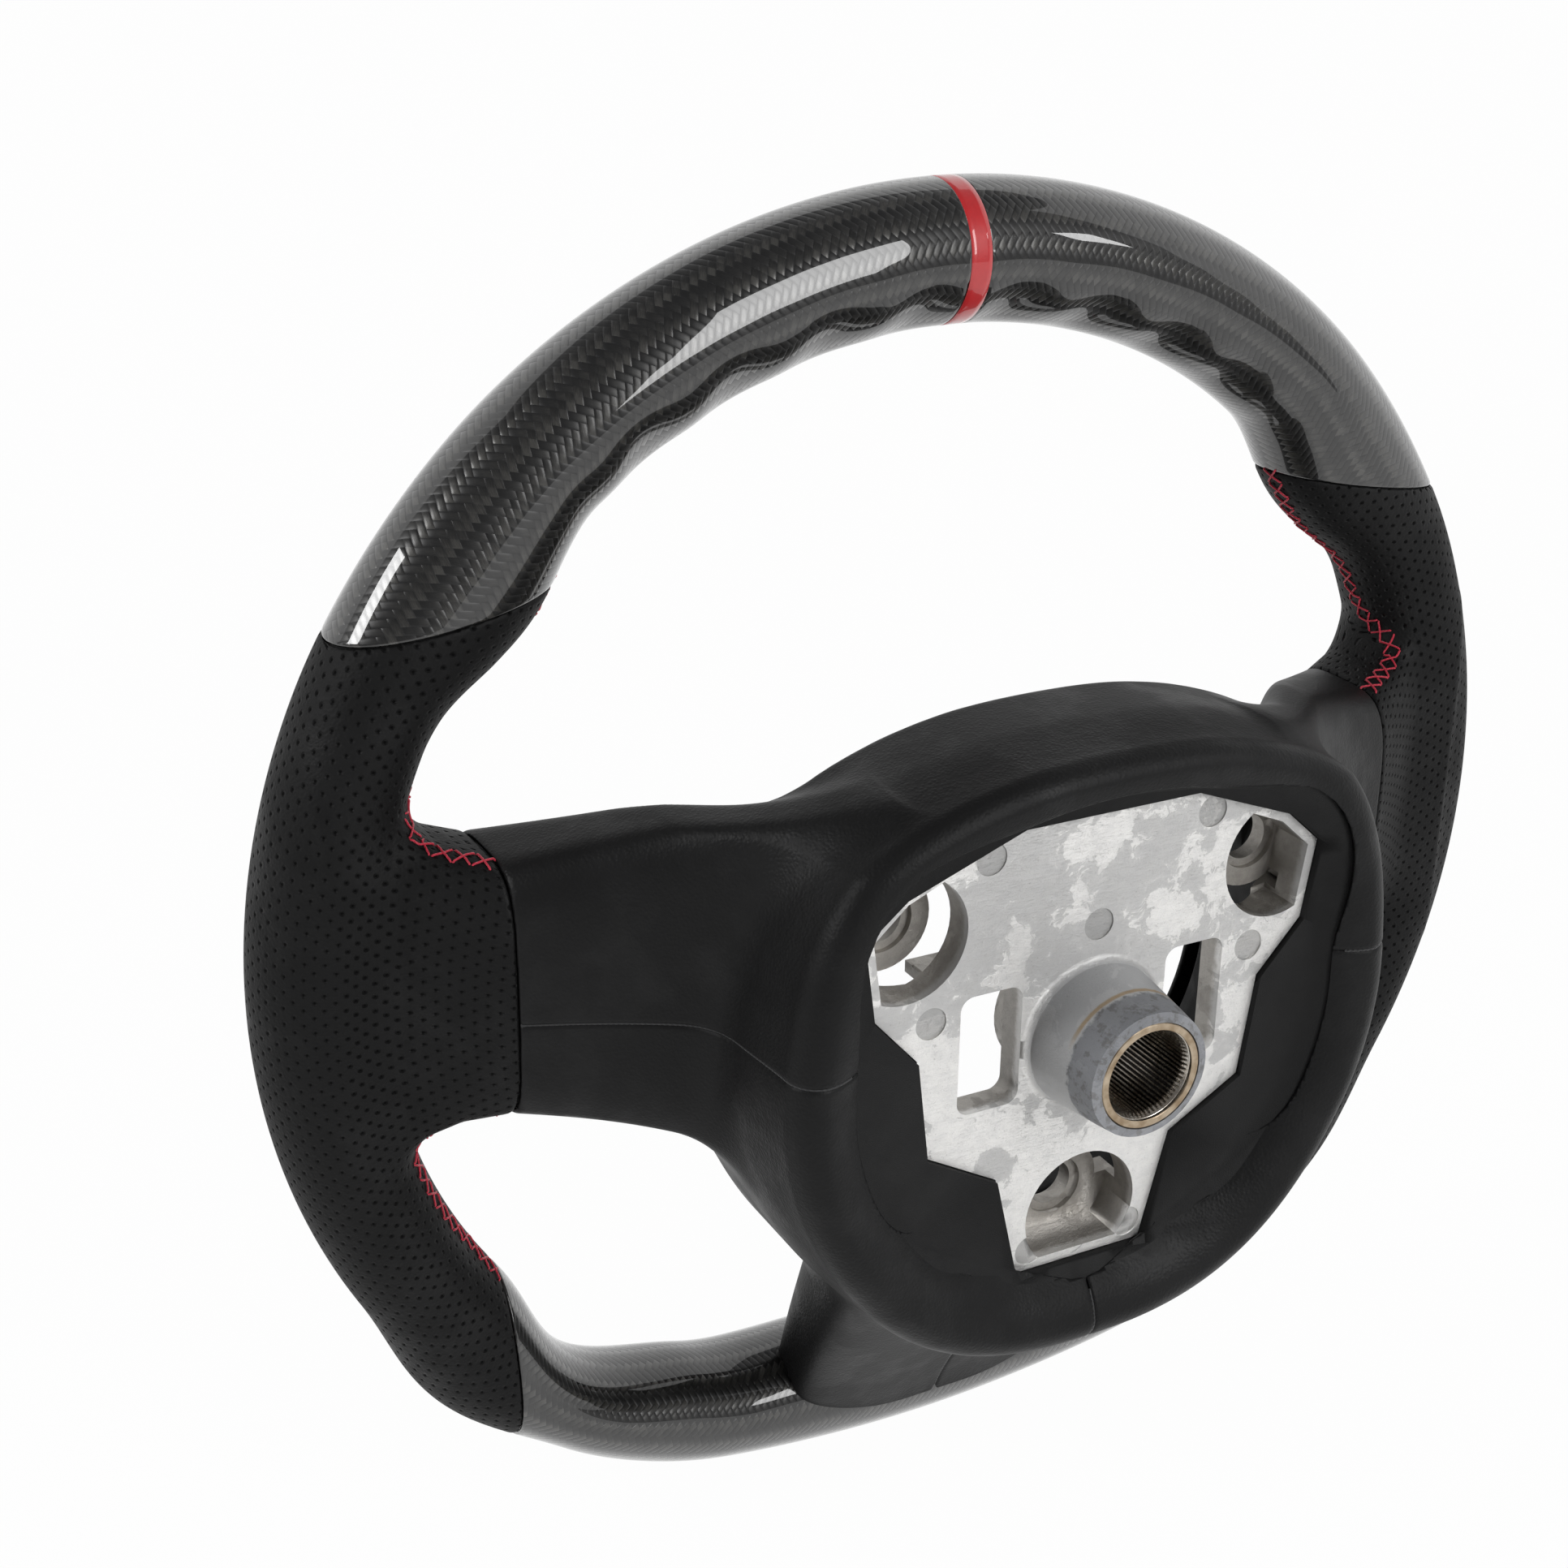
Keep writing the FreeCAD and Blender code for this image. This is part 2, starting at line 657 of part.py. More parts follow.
def armature_casting():
    """Hub plate with its boss, pockets, windows, ribs and arms as one casting."""
    back = "Sizes.plate_depth - Sizes.plate_thickness"
    plate = extruded_outline("hub_plate", plate_corners(), back, "Sizes.plate_thickness")
    boss = make("Part::Cone", "boss", Radius1="Sizes.boss_base_radius",
                Radius2="Sizes.boss_end_radius", Height="Sizes.hub_depth - Sizes.plate_depth")
    along_y(boss, "Sizes.plate_depth")
    front_boss = round_bar("front_boss", "Sizes.boss_front_radius",
                           back + " - Sizes.boss_front_length", "Sizes.boss_front_length")
    solids = [plate, boss, front_boss]
    for share, wide in ((0.25, 0.45), (0.6, 0.16)):
        skirt = make("Part::Cone", "boss_skirt_%d" % (100 * share),
                     Radius1="Sizes.boss_base_radius + Sizes.boss_fillet * %g" % (2.2 * wide),
                     Radius2="Sizes.boss_base_radius - Sizes.boss_fillet * 0.05",
                     Height="Sizes.boss_fillet * %g" % share)
        along_y(skirt, "Sizes.plate_depth")
        solids.append(skirt)
    holes = [round_bar("insert_seat", "Sizes.insert_radius", "Sizes.hub_depth - Sizes.insert_length",
                       "Sizes.insert_length"),
             round_bar("bolt_passage", "Sizes.bolt_hole_radius + Sizes.bolt_clearance",
                       back + " - Sizes.boss_front_length", "Sizes.insert_length")]
    doc.recompute()
    seat_face = "Sizes.plate_depth - Sizes.seat_step"
    seat_back = seat_face + " - Sizes.seat_thickness"
    under_plate = doc.addObject("Part::Feature", "room_under_plate")
    under_plate.Shape = plate_prism(0.0, size("seat_step") + size("seat_thickness"), 0.0)
    pocket_room = doc.addObject("Part::Feature", "pocket_room")
    pocket_room.Shape = plate_prism(-size("pocket_wall"), size("seat_step"), size("plate_thickness"))
    for side, sign in (("left", "-"), ("right", "")):
        x0 = "-Sizes.window_outer" if sign else "Sizes.window_inner"
        x1 = "-Sizes.window_inner" if sign else "Sizes.window_outer"
        window = box_between(side + "_window", x0, x1, back + " - 1", "Sizes.plate_depth + 1",
                             "-Sizes.window_drop", "Sizes.window_top")
        doc.recompute()
        rounded = doc.addObject("Part::Fillet", side + "_window_rounded")
        rounded.Base = window
        rounded.Edges = [(number, size("window_corner"), size("window_corner"))
                         for number, edge in enumerate(window.Shape.Edges, 1)
                         if abs(edge.tangentAt(edge.FirstParameter).y) > 0.9]
        holes.append(rounded)
        turn = "(180 - Sizes.pocket_turn)" if sign else "Sizes.pocket_turn"
        pin_pocket(side, sign + "Sizes.pocket_reach", "Sizes.pocket_height", turn,
                   seat_face, seat_back, under_plate, pocket_room, solids, holes)
    pin_pocket("foot", "0", "-Sizes.foot_pocket_drop", "270", seat_face, seat_back, under_plate,
               pocket_room, solids, holes)
    face = "Sizes.plate_depth - Sizes.ejector_depth"
    marks = [("0", 28.7), ("1", 51.8), ("-1", 51.8), ("2", 13.0), ("-2", 13.0), ("3", -58.0), ("-3", -58.0)]
    reaches = {"0": "0", "1": "31", "-1": "-31", "2": "45.5", "-2": "-45.5", "3": "14.5", "-3": "-14.5"}
    for number, (key, lift) in enumerate(marks):
        holes.append(round_bar("ejector_mark_%d" % number, "Sizes.ejector_radius", face,
                               "Sizes.ejector_depth + 1", reaches[key], str(lift)))
    for side, sign in (("left", -1), ("right", 1)):
        x0, x1 = sorted((sign * 18.0, sign * 44.0))
        solids.append(box_between(side + "_rib", str(x0), str(x1), back + " - Sizes.rib_height", back,
                                  "Sizes.window_top + 2", "Sizes.window_top + 2 + Sizes.rib_thickness"))
    arms = doc.addObject("Part::Feature", "arms")
    arms.Shape = arm_form(0.0).cut(ring_form(size("core_ring_radius")))
    solids.append(arms)
    body = fused("casting_solids", solids)
    voids = fused("casting_voids", holes)
    return sub_part(cut("casting", body, voids), "armature_casting")


# ---------------------------------------------------------------- spline insert

def origin_plane(body, role):
    """One of a body's own origin planes."""
    return [plane for plane in body.Origin.OriginFeatures if plane.Role == role][0]


def spline_insert():
    """Steel sleeve in the boss: lead-in, bore at the spline's tip radius, web for the centre bolt."""
    body = doc.addObject("PartDesign::Body", "spline_insert_body")
    sketch = body.newObject("Sketcher::SketchObject", "insert_profile")
    sketch.AttachmentSupport = [(origin_plane(body, "XY_Plane"), "")]
    sketch.MapMode = "FlatFace"
    end = "Sizes.hub_depth"
    front = "Sizes.hub_depth - Sizes.insert_length + Sizes.fit_gap"
    outer = "Sizes.insert_radius - Sizes.fit_gap"
    corners = [(outer, front), (outer, end), ("Sizes.insert_mouth_radius", end),
               ("Sizes.insert_mouth_radius", end + " - Sizes.pilot_depth"),
               ("Sizes.spline_tip_radius", end + " - Sizes.pilot_depth - Sizes.lead_in"),
               ("Sizes.spline_tip_radius", front + " + Sizes.insert_web"),
               ("Sizes.bolt_hole_radius", front + " + Sizes.insert_web"),
               ("Sizes.bolt_hole_radius", front)]
    count = len(corners)
    starts = [Vector(20 + 5 * math.cos(2 * math.pi * k / count), 90 + 5 * math.sin(2 * math.pi * k / count), 0)
              for k in range(count)]
    for k in range(count):
        sketch.addGeometry(Part.LineSegment(starts[k], starts[(k + 1) % count]))
    for k in range(count):
        sketch.addConstraint(Sketcher.Constraint("Coincident", k, 2, (k + 1) % count, 1))
    for k, (across, along) in enumerate(corners):
        for kind, expression, start in (("DistanceX", across, 20.0), ("DistanceY", along, 90.0)):
            index = sketch.addConstraint(Sketcher.Constraint(kind, -1, 1, k, 1, start))
            sketch.setExpression("Constraints[%d]" % index, expression)
    sleeve = body.newObject("PartDesign::Revolution", "sleeve")
    sleeve.Profile = sketch
    sleeve.ReferenceAxis = (sketch, ["V_Axis"])
    sleeve.Angle = 360
    doc.recompute()
    body.Tip = sleeve
    return sub_part(body, "spline_insert")


# ---------------------------------------------------------------- rim, covers and body

def freeform_parts():
    """Every moulded, laid-up or stitched piece round the armature."""
    gap, fit = size("joint_gap") / 2, size("fit_gap")
    carbon, leather = size("carbon_wall"), size("leather_wall")
    ring = ring_form(size("core_ring_radius"))
    shape_part("rim_core_ring", ring)
    channel = arm_form(fit).fuse(ring_form(size("core_ring_radius") + fit))
    above, below = upper_joint_block(True, gap), upper_joint_block(False, gap)

    def top_rim(skin):
        form = rim_form(-66.5, 66.5, 28, skin)
        return form.cut(below).cut(mirrored(below))

    def bottom_rim(skin):
        half = rim_form(114.0, 180.0, 11, skin)
        return half.fuse(mirrored(half)).common(lower_joint_block(gap))

    def grip(skin):
        tube = rim_form(38.0, 152.0, 19, skin)
        return tube.fuse(stub_form(skin)).cut(above).cut(lower_joint_block(-gap))

    top_outer, top_inner = top_rim(0.0), top_rim(-carbon)
    half = size("stripe_width") / 2
    band = block(-half, half, -BIG, BIG, 0, BIG)
    inlay = top_outer.cut(top_rim(-size("stripe_depth"))).common(band)
    shape_part("upper_carbon_shell", top_outer.cut(top_inner).cut(inlay))
    shape_part("centre_stripe", inlay)
    shape_part("upper_rim_core", top_rim(-carbon - fit).cut(channel))

    hub_outer, hub_inner = hub_form(0.0), hub_form(-leather)
    tongue = lower_spoke_form(fit)
    bottom_outer, bottom_inner = bottom_rim(0.0), bottom_rim(-carbon)
    shape_part("lower_carbon_shell", bottom_outer.cut(bottom_inner).cut(tongue))
    shape_part("lower_rim_core", bottom_rim(-carbon - fit).cut(tongue).cut(channel))

    pad = grip(-leather - fit).cut(channel)
    cover = grip(0.0).cut(grip(-leather))
    inside = Part.makeCylinder(RING - 6, BIG, RIM_CENTRE - Vector(0, BIG / 2, 0), Vector(0, 1, 0))
    thread = grip(size("seam_height")).cut(grip(0.05)).common(inside)
    wide = size("seam_width") / 2
    upper_seam = thread.common(block(0, BIG, -wide, wide, size("cover_seam_height"), BIG))
    lower_seam = thread.common(block(0, BIG, -wide, wide, -BIG, 0))
    for side, turn in (("right", lambda form: form), ("left", mirrored)):
        shape_part(side + "_grip_leather", turn(cover))
        shape_part(side + "_grip_pad", turn(pad))
        shape_part(side + "_upper_seam_thread", turn(upper_seam))
        shape_part(side + "_lower_seam_thread", turn(lower_seam))

    pocket = switch_pocket(0.0)
    openings = recess_form(0.0).multiFuse([cavity_form(0.0), pocket, mirrored(pocket)])
    skin = hub_outer.cut(hub_inner).cut(openings)
    seam, half_cord, slit = size("cover_seam_height"), size("cover_seam_width") / 2, size("seam_slit")
    groove = half_cord + slit / 2
    side_groove = behind_spokes(-BIG, BIG).common(
        block(-BIG, BIG, -BIG, BIG, seam - groove, seam + groove))
    foot_groove = block(-groove, groove, size("tongue_rear") - 6, BIG, -BIG, -size("foot_drop"))
    panels = skin.cut(side_groove).cut(foot_groove).cut(channel)
    upper = panels.common(block(-BIG, BIG, -BIG, BIG, seam + slit / 2, BIG))
    lower = panels.common(block(slit / 2, BIG, -BIG, BIG, -BIG, seam - slit / 2))
    shape_part("upper_cover_leather", upper)
    shape_part("lower_right_cover_leather", lower)
    lower = panels.common(block(-BIG, -slit / 2, -BIG, BIG, -BIG, seam - slit / 2))
    shape_part("lower_left_cover_leather", lower)
    proud = size("cover_seam_proud")
    cord_skin = hub_form(proud).cut(hub_form(proud - leather)).cut(openings).cut(channel)
    side_cord = longest(cord_skin.common(behind_spokes(RIM_CENTRE.z, BIG)).common(
        block(0, BIG, -BIG, BIG, seam - half_cord, seam + half_cord)))
    foot_cord = longest(cord_skin.common(block(
        -half_cord, half_cord, size("tongue_rear") - 6, BIG, -BIG, -size("foot_drop"))))
    shape_part("right_cover_seam_cord", side_cord)
    shape_part("left_cover_seam_cord", mirrored(side_cord))
    shape_part("foot_cover_seam_cord", foot_cord)

    body = hub_form(-leather - fit).cut(recess_form(0.0)).cut(cavity_form(leather))
    inner_pocket = switch_pocket(-leather)
    body = body.cut(inner_pocket).cut(mirrored(inner_pocket)).cut(channel)
    room = plate_prism(2 * fit, size("seat_step") + size("seat_thickness"), size("hub_depth") / 2)
    shape_part("hub_body", longest(body.cut(room)))


armature_casting()
spline_insert()
doc.recompute()
freeform_parts()
doc.recompute()

for thing in doc.Objects:
    if "Invalid" in thing.State or "Error" in thing.State:
        raise RuntimeError("%s did not build: %s" % (thing.Name, thing.State))
os.makedirs("parts", exist_ok=True)
for thing in parts:
    shape = thing.Shape
    if shape.isNull() or not shape.isValid() or not shape.Solids:
        raise RuntimeError("%s has no valid solid" % thing.Label)
    shape.exportStep(os.path.join("parts", thing.Label + ".step"))
    print("%-28s solids %d volume %10.1f" % (thing.Label, len(shape.Solids), shape.Volume))
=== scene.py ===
# %% [markdown]
# # A flat-bottomed steering wheel, seen from its column side
#
# The real wheel has a glossy carbon top and bottom, perforated leather grips at nine and
# three o'clock, a smooth leather cover over the hub and its three spokes, and a raw die-cast
# plate in the middle with a splined boss. This file dresses the CAD model: pieces whose CAD
# shape is right keep it and get a better finish, and the soft or flowing pieces are made
# again as finer surfaces worked out with numpy.

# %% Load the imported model
import math

import bmesh
import bpy
import numpy as np
from mathutils import Euler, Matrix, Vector


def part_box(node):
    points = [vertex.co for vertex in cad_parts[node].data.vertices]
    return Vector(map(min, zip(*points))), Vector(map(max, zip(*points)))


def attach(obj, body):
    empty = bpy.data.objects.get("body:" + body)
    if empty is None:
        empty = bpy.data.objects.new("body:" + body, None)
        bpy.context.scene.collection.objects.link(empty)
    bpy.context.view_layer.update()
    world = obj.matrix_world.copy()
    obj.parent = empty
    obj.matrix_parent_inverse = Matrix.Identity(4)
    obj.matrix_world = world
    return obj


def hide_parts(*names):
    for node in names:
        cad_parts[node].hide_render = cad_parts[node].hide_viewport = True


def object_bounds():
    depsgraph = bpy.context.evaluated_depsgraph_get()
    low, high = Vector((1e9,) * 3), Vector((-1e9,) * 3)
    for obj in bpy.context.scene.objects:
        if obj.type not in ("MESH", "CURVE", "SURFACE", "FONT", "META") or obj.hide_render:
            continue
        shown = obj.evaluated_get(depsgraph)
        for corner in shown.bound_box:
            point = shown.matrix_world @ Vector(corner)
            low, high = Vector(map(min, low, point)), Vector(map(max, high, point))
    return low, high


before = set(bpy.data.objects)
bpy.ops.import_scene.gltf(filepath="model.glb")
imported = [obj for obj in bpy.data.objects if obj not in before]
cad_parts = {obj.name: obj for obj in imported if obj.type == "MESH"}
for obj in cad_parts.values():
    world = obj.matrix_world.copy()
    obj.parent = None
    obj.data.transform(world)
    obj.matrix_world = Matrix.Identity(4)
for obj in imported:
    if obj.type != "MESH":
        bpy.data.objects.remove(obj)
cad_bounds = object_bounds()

print("CAD box in metres:", [[round(c, 4) for c in corner] for corner in cad_bounds])

# %% [markdown]
# ## Millimetres in the rim's plane
#
# The formulas are easiest to read in millimetres, with y = 0 in the plane of the rim and the
# column axis as the y axis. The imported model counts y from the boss's end face instead, so
# one helper turns points into metres in the model's frame. The tube's radius and the depth
# of the hub are read from the carbon top's box rather than typed in.

# %% Units and the rim's own sizes
low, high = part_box("upper_carbon_shell")
HUB_DEPTH = -500.0 * (low.y + high.y)
TUBE = 500.0 * (high.y - low.y)
RIM_REACH = 182.5
RING = RIM_REACH - TUBE
RIM_LIFT = 8.1
print("hub depth %.1f mm, tube radius %.1f mm, ring radius %.1f mm" % (HUB_DEPTH, TUBE, RING))


def to_metres(points):
    """Model point = (rim point - (0, hub depth, 0)) / 1000."""
    return (np.asarray(points, float) - (0.0, HUB_DEPTH, 0.0)) / 1000.0


def from_metres(points):
    """Rim point = 1000 x model point + (0, hub depth, 0)."""
    return np.asarray(points, float) * 1000.0 + (0.0, HUB_DEPTH, 0.0)


# %% [markdown]
# ## Camera
#
# The camera comes first, because everything is judged through it. It stands behind the
# wheel, above it and to the driver's right, with a moderately long lens.

# %% Camera
def placed(name, data):
    """A new object in the scene."""
    thing = bpy.data.objects.new(name, data)
    bpy.context.scene.collection.objects.link(thing)
    return thing


camera_data = bpy.data.cameras.new("camera")
camera_data.sensor_width = 36.0
camera_data.lens = 54.42
camera_data.clip_end = 20.0
camera = placed("camera", camera_data)
camera.location = Vector(to_metres((301.19, 490.16, 275.78)))
camera.rotation_euler = Euler([math.radians(a) for a in (67.113, -0.5992, 152.3517)], "XYZ")
bpy.context.scene.camera = camera
print("camera at", [round(c, 3) for c in camera.location])

# %% [markdown]
# ## Floor, backdrop and lamps
#
# A product studio: a round pale floor that rises into a pale backdrop behind the wheel, and
# three soft boxes. The wall stops short of the camera's side, where the room stays dim, so
# that the lacquer mirrors a bright side and a dark side, with the lamps as streaks between
# them. Light Path's Is Camera Ray and Is Glossy Ray make the cloth plain white where it is
# seen or mirrored, while a small diffuse share still takes the wheel's shadow.

# %% Studio
CLOTH_GLOW = 0.975


def studio_cloth():
    """White to the eye and in reflections, with the shadow of the wheel kept by a diffuse part."""
    material = bpy.data.materials.new("studio_cloth")
    material.use_nodes = True
    nodes, links = material.node_tree.nodes, material.node_tree.links
    nodes.clear()
    out = nodes.new("ShaderNodeOutputMaterial")
    cloth = nodes.new("ShaderNodeBsdfDiffuse")
    cloth.inputs["Color"].default_value = (0.88, 0.88, 0.88, 1.0)
    glow = nodes.new("ShaderNodeEmission")
    glow.inputs["Color"].default_value = (1.0, 1.0, 1.0, 1.0)
    glow.inputs["Strength"].default_value = 1.0
    path = nodes.new("ShaderNodeLightPath")
    seen = nodes.new("ShaderNodeMath")
    seen.operation = "MAXIMUM"
    share = nodes.new("ShaderNodeMath")
    share.operation = "MULTIPLY"
    share.inputs[1].default_value = CLOTH_GLOW
    mix = nodes.new("ShaderNodeMixShader")
    for source, socket in ((path.outputs["Is Camera Ray"], seen.inputs[0]),
                           (path.outputs["Is Glossy Ray"], seen.inputs[1]),
                           (seen.outputs[0], share.inputs[0]), (share.outputs[0], mix.inputs[0]),
                           (cloth.outputs[0], mix.inputs[1]), (glow.outputs[0], mix.inputs[2]),
                           (mix.outputs[0], out.inputs["Surface"])):
        links.new(source, socket)
    return material


def grid_mesh(name, points, wrap_u=False, wrap_v=False):
    """Mesh from an array of points[u, v]; wrap closes that direction onto itself."""
    rows, columns = points.shape[:2]
    index = np.arange(rows * columns).reshape(rows, columns)
    if wrap_u:
        index = np.vstack([index, index[:1]])
    if wrap_v:
        index = np.hstack([index, index[:, :1]])
    quads = np.stack([index[:-1, :-1], index[1:, :-1], index[1:, 1:], index[:-1, 1:]], -1)
    mesh = bpy.data.meshes.new(name)
    mesh.from_pydata(points.reshape(-1, 3).tolist(), [], quads.reshape(-1, 4).tolist())
    mesh.update()
    return mesh


def add_object(name, mesh, material):
    """An object at the origin, unturned and unscaled, with smooth shading."""
    thing = placed(name, mesh)
    mesh.materials.clear()
    mesh.materials.append(material)
    mesh.polygons.foreach_set("use_smooth", np.ones(len(mesh.polygons), bool))
    return thing


def studio_room():
    """A round floor whose rings bend up into a wall, which dies away towards the camera's side."""
    middle_y, gap, flat, bend, top = 0.22, 0.002, 1.05, 0.6, [1.4, 2.2]
    wall_end, wall_fade = np.radians(-58.0), np.radians(18.0)
    turn = np.radians(np.linspace(-236.0, 124.0, 145))[:, None]
    rise = np.linspace(0.0, np.pi / 2, 13)
    reach = np.concatenate([np.linspace(0.0, 1.0, 12), flat + bend * np.sin(rise), [flat + bend] * 2])
    height = np.concatenate([np.zeros(12), bend * (1 - np.cos(rise)), top])[None, :]
    height = height * np.clip((wall_end - turn) / wall_fade, 0.0, 1.0)
    return np.stack([reach * np.sin(turn), middle_y + reach * np.cos(turn),
                     cad_bounds[0][2] - gap + height], -1)


add_object("studio_room", grid_mesh("studio_room", studio_room()), studio_cloth())


def lamp(name, place, target, width, depth, power):
    """A rectangular soft box aimed at a target."""
    data = bpy.data.lights.new(name, "AREA")
    data.shape = "RECTANGLE"
    data.size, data.size_y = width, depth
    data.energy = power
    thing = placed(name, data)
    thing.location = place
    thing.rotation_euler = (Vector(target) - Vector(place)).to_track_quat("-Z", "Y").to_euler()


lamp("soft_box_back", (-0.335, 1.06, 0.57), (0.0, 0.0, 0.05), 0.46, 0.78, 9.0)
lamp("soft_box_side", (1.15, -0.12, 0.60), (0.1, -0.1, 0.0), 0.34, 0.4, 6.0)
lamp("soft_box_small", (-0.85, 0.72, 0.62), (0.0, 0.0, 0.05), 0.12, 0.16, 0.6)
world = bpy.data.worlds.new("room")
world.use_nodes = True
world.node_tree.nodes["Background"].inputs["Color"].default_value = (0.17, 0.17, 0.175, 1.0)
bpy.context.scene.world = world
bpy.context.scene.view_settings.view_transform = "Standard"
print("lamps: 3; the room opens towards the camera")

# %% [markdown]
# ## Finishes
#
# Every finish is worked out by nodes, with no image. Effects that several materials share
# are node groups, and each group gives only a value, a colour or a height: the material
# itself plugs that into its own shader. A signal stands for a node's output and can be
# added, subtracted and multiplied, so that a formula stays readable as a formula.

# %% Node helpers
class Signal:
    """A node's output, which adds, subtracts, multiplies and divides by Math nodes."""

    def __init__(self, wires, socket):
        self.wires, self.socket = wires, socket

    def __add__(self, other):
        return self.wires.math("ADD", self, other)

    def __sub__(self, other):
        return self.wires.math("SUBTRACT", self, other)

    def __rsub__(self, other):
        return self.wires.math("SUBTRACT", other, self)

    def __mul__(self, other):
        return self.wires.math("MULTIPLY", self, other)

    def __truediv__(self, other):
        return self.wires.math("DIVIDE", self, other)


class Wires:
    """Adds nodes to one tree: numbers become constants and signals become links."""

    def __init__(self, tree):
        self.tree = tree

    def fill(self, node, **inputs):
        """Link inputs, by name, to signals, or set them to numbers or tuples."""
        for name, source in inputs.items():
            self.put(node.inputs[name.replace("_", " ")], source)

    def put(self, socket, source):
        """Link one socket to a signal, or set it."""
        if isinstance(source, Signal):
            self.tree.links.new(source.socket, socket)
        else:
            socket.default_value = source

    def node(self, kind, settings=None, **inputs):
        """Add a node, set its options and fill its inputs by name."""
        made = self.tree.nodes.new(kind)
        for option, value in (settings or {}).items():
            setattr(made, option, value)
        self.fill(made, **inputs)
        return made

    def signal(self, kind, settings=None, output=0, **inputs):
        """Add a node and return one of its outputs."""
        return Signal(self, self.node(kind, settings, **inputs).outputs[output])

    def math(self, operation, *sources):
        """One Math node on up to three sources."""
        made = self.node("ShaderNodeMath", {"operation": operation})
        for socket, source in zip(made.inputs, sources):
            self.put(socket, source)
        return Signal(self, made.outputs[0])

    def ease(self, value, start, end, low=0.0, high=1.0):
        """Smooth step of a value from low at start to high at end."""
        made = self.node("ShaderNodeMapRange", {"interpolation_type": "SMOOTHSTEP"})
        for socket, source in zip(made.inputs[:5], (value, start, end, low, high)):
            self.put(socket, source)
        return Signal(self, made.outputs[0])

    def mix(self, share, first, second):
        """Colour between two colours."""
        made = self.node("ShaderNodeMix", {"data_type": "RGBA"})
        for number, source in ((0, share), (6, first), (7, second)):
            self.put(made.inputs[number], source)
        return Signal(self, made.outputs[2])

    def noise(self, vector, scale, detail, rough=0.5, output=0):
        """Noise on a vector."""
        return self.signal("ShaderNodeTexNoise", None, output, Vector=vector, Scale=scale,
                           Detail=detail, Roughness=rough)

    def split(self, vector):
        """The three parts of a vector."""
        parts = self.node("ShaderNodeSeparateXYZ", Vector=vector).outputs
        return [Signal(self, part) for part in parts]

    def join(self, x, y, z=0.0):
        """A vector of three parts."""
        return self.signal("ShaderNodeCombineXYZ", X=x, Y=y, Z=z)

    def chance(self, vector, output="Value"):
        """A random number or colour for each whole-numbered cell."""
        return self.signal("ShaderNodeTexWhiteNoise", {"noise_dimensions": "2D"}, output,
                           Vector=vector)


def new_group(name, *outputs):
    """A node group with one vector input and the named float outputs."""
    tree = bpy.data.node_groups.new(name, "ShaderNodeTree")
    tree.interface.new_socket("Vector", in_out="INPUT", socket_type="NodeSocketVector")
    for output in outputs:
        tree.interface.new_socket(output, in_out="OUTPUT", socket_type="NodeSocketFloat")
    w = Wires(tree)
    start, end = tree.nodes.new("NodeGroupInput"), tree.nodes.new("NodeGroupOutput")
    return w, Signal(w, start.outputs["Vector"]), end


# %% [markdown]
# The twill weave is a formula of the tow numbers. Turning the surface coordinates by 45
# degrees gives one axis along each set of tows. A warp tow lies on top where the sum of the
# two tow numbers, modulo four, is under two, which gives the stepped diagonals of a 2x2
# twill. Each tow is rounded across, dips at the ends of its float, and is streaked by its
# filaments. Its shade carries painted light: a painted highlight towards one end of each float,
# painted shade at the tow's edges, and a weft tow painted at 0.28 of a warp tow's brightness
# in place of the fibres' sheen.

# %% Weave group
TOW_ALONG, TOW_ROUND = 1.556, 2.4436
SLANT = 0.70711


def weave_group():
    """Twill of carbon tows from coordinates in millimetres: shade with painted sheen and shade,
    height, and 1 on a warp tow.
    """
    w, vector, out = new_group("twill_weave", "Shade", "Height", "Warp")
    x, y, _ = w.split(vector)
    u, v = x / TOW_ALONG, y / TOW_ROUND
    a, b = (u + v) * SLANT, (v - u) * SLANT
    step_a, step_b = w.math("FLOOR", a), w.math("FLOOR", b)
    part_a, part_b = w.math("FRACT", a), w.math("FRACT", b)
    phase = w.math("FLOORED_MODULO", step_a + step_b, 4.0)
    warp = w.math("LESS_THAN", phase, 1.5)
    weft = 1.0 - warp

    def pick(first, second):
        return warp * first + weft * second

    across = pick(part_b, part_a)
    along = (pick(phase, phase - 2.0) + pick(part_a, part_b)) * 0.5
    round_across, round_along = [w.math("POWER", w.math("ABSOLUTE", part * 2.0 - 1.0), 3.0)
                                 for part in (across, along)]
    filaments = w.join(pick(a * 1.3, b * 1.3), pick(b * 14.0, a * 14.0), warp * 7.0)
    streak = w.ease(w.noise(filaments, 1.0, 2.0), 0.3, 0.7, 0.55, 1.3)
    own = w.math("MULTIPLY_ADD", w.chance(w.join(step_a, step_b)), 1.1, 0.4)
    # Painted light: a painted highlight towards one end of each float, and painted shade at the tow's
    # edges.
    shade = streak * (w.ease(along, 0.0, 1.0, 0.25, 1.0) * own) * (1.0 - round_across * 0.8)
    # The weft at 0.28 of the warp's brightness is painted sheen.
    w.fill(out, Shade=shade * pick(1.0, 0.28), Warp=warp,
           Height=1.0 - (round_across * 0.45 + round_along * 0.55))
    return w.tree


# %% [markdown]
# The other shared effects: punched holes in staggered rows, each a little off its place;
# leather grain of cells and folds; the patchy skin of a casting; and the turns of a thread,
# with painted shade in the grooves between them.

# %% Hole, grain, casting and thread groups
HOLE_ALONG, HOLE_ROUND = 3.7, 2.6


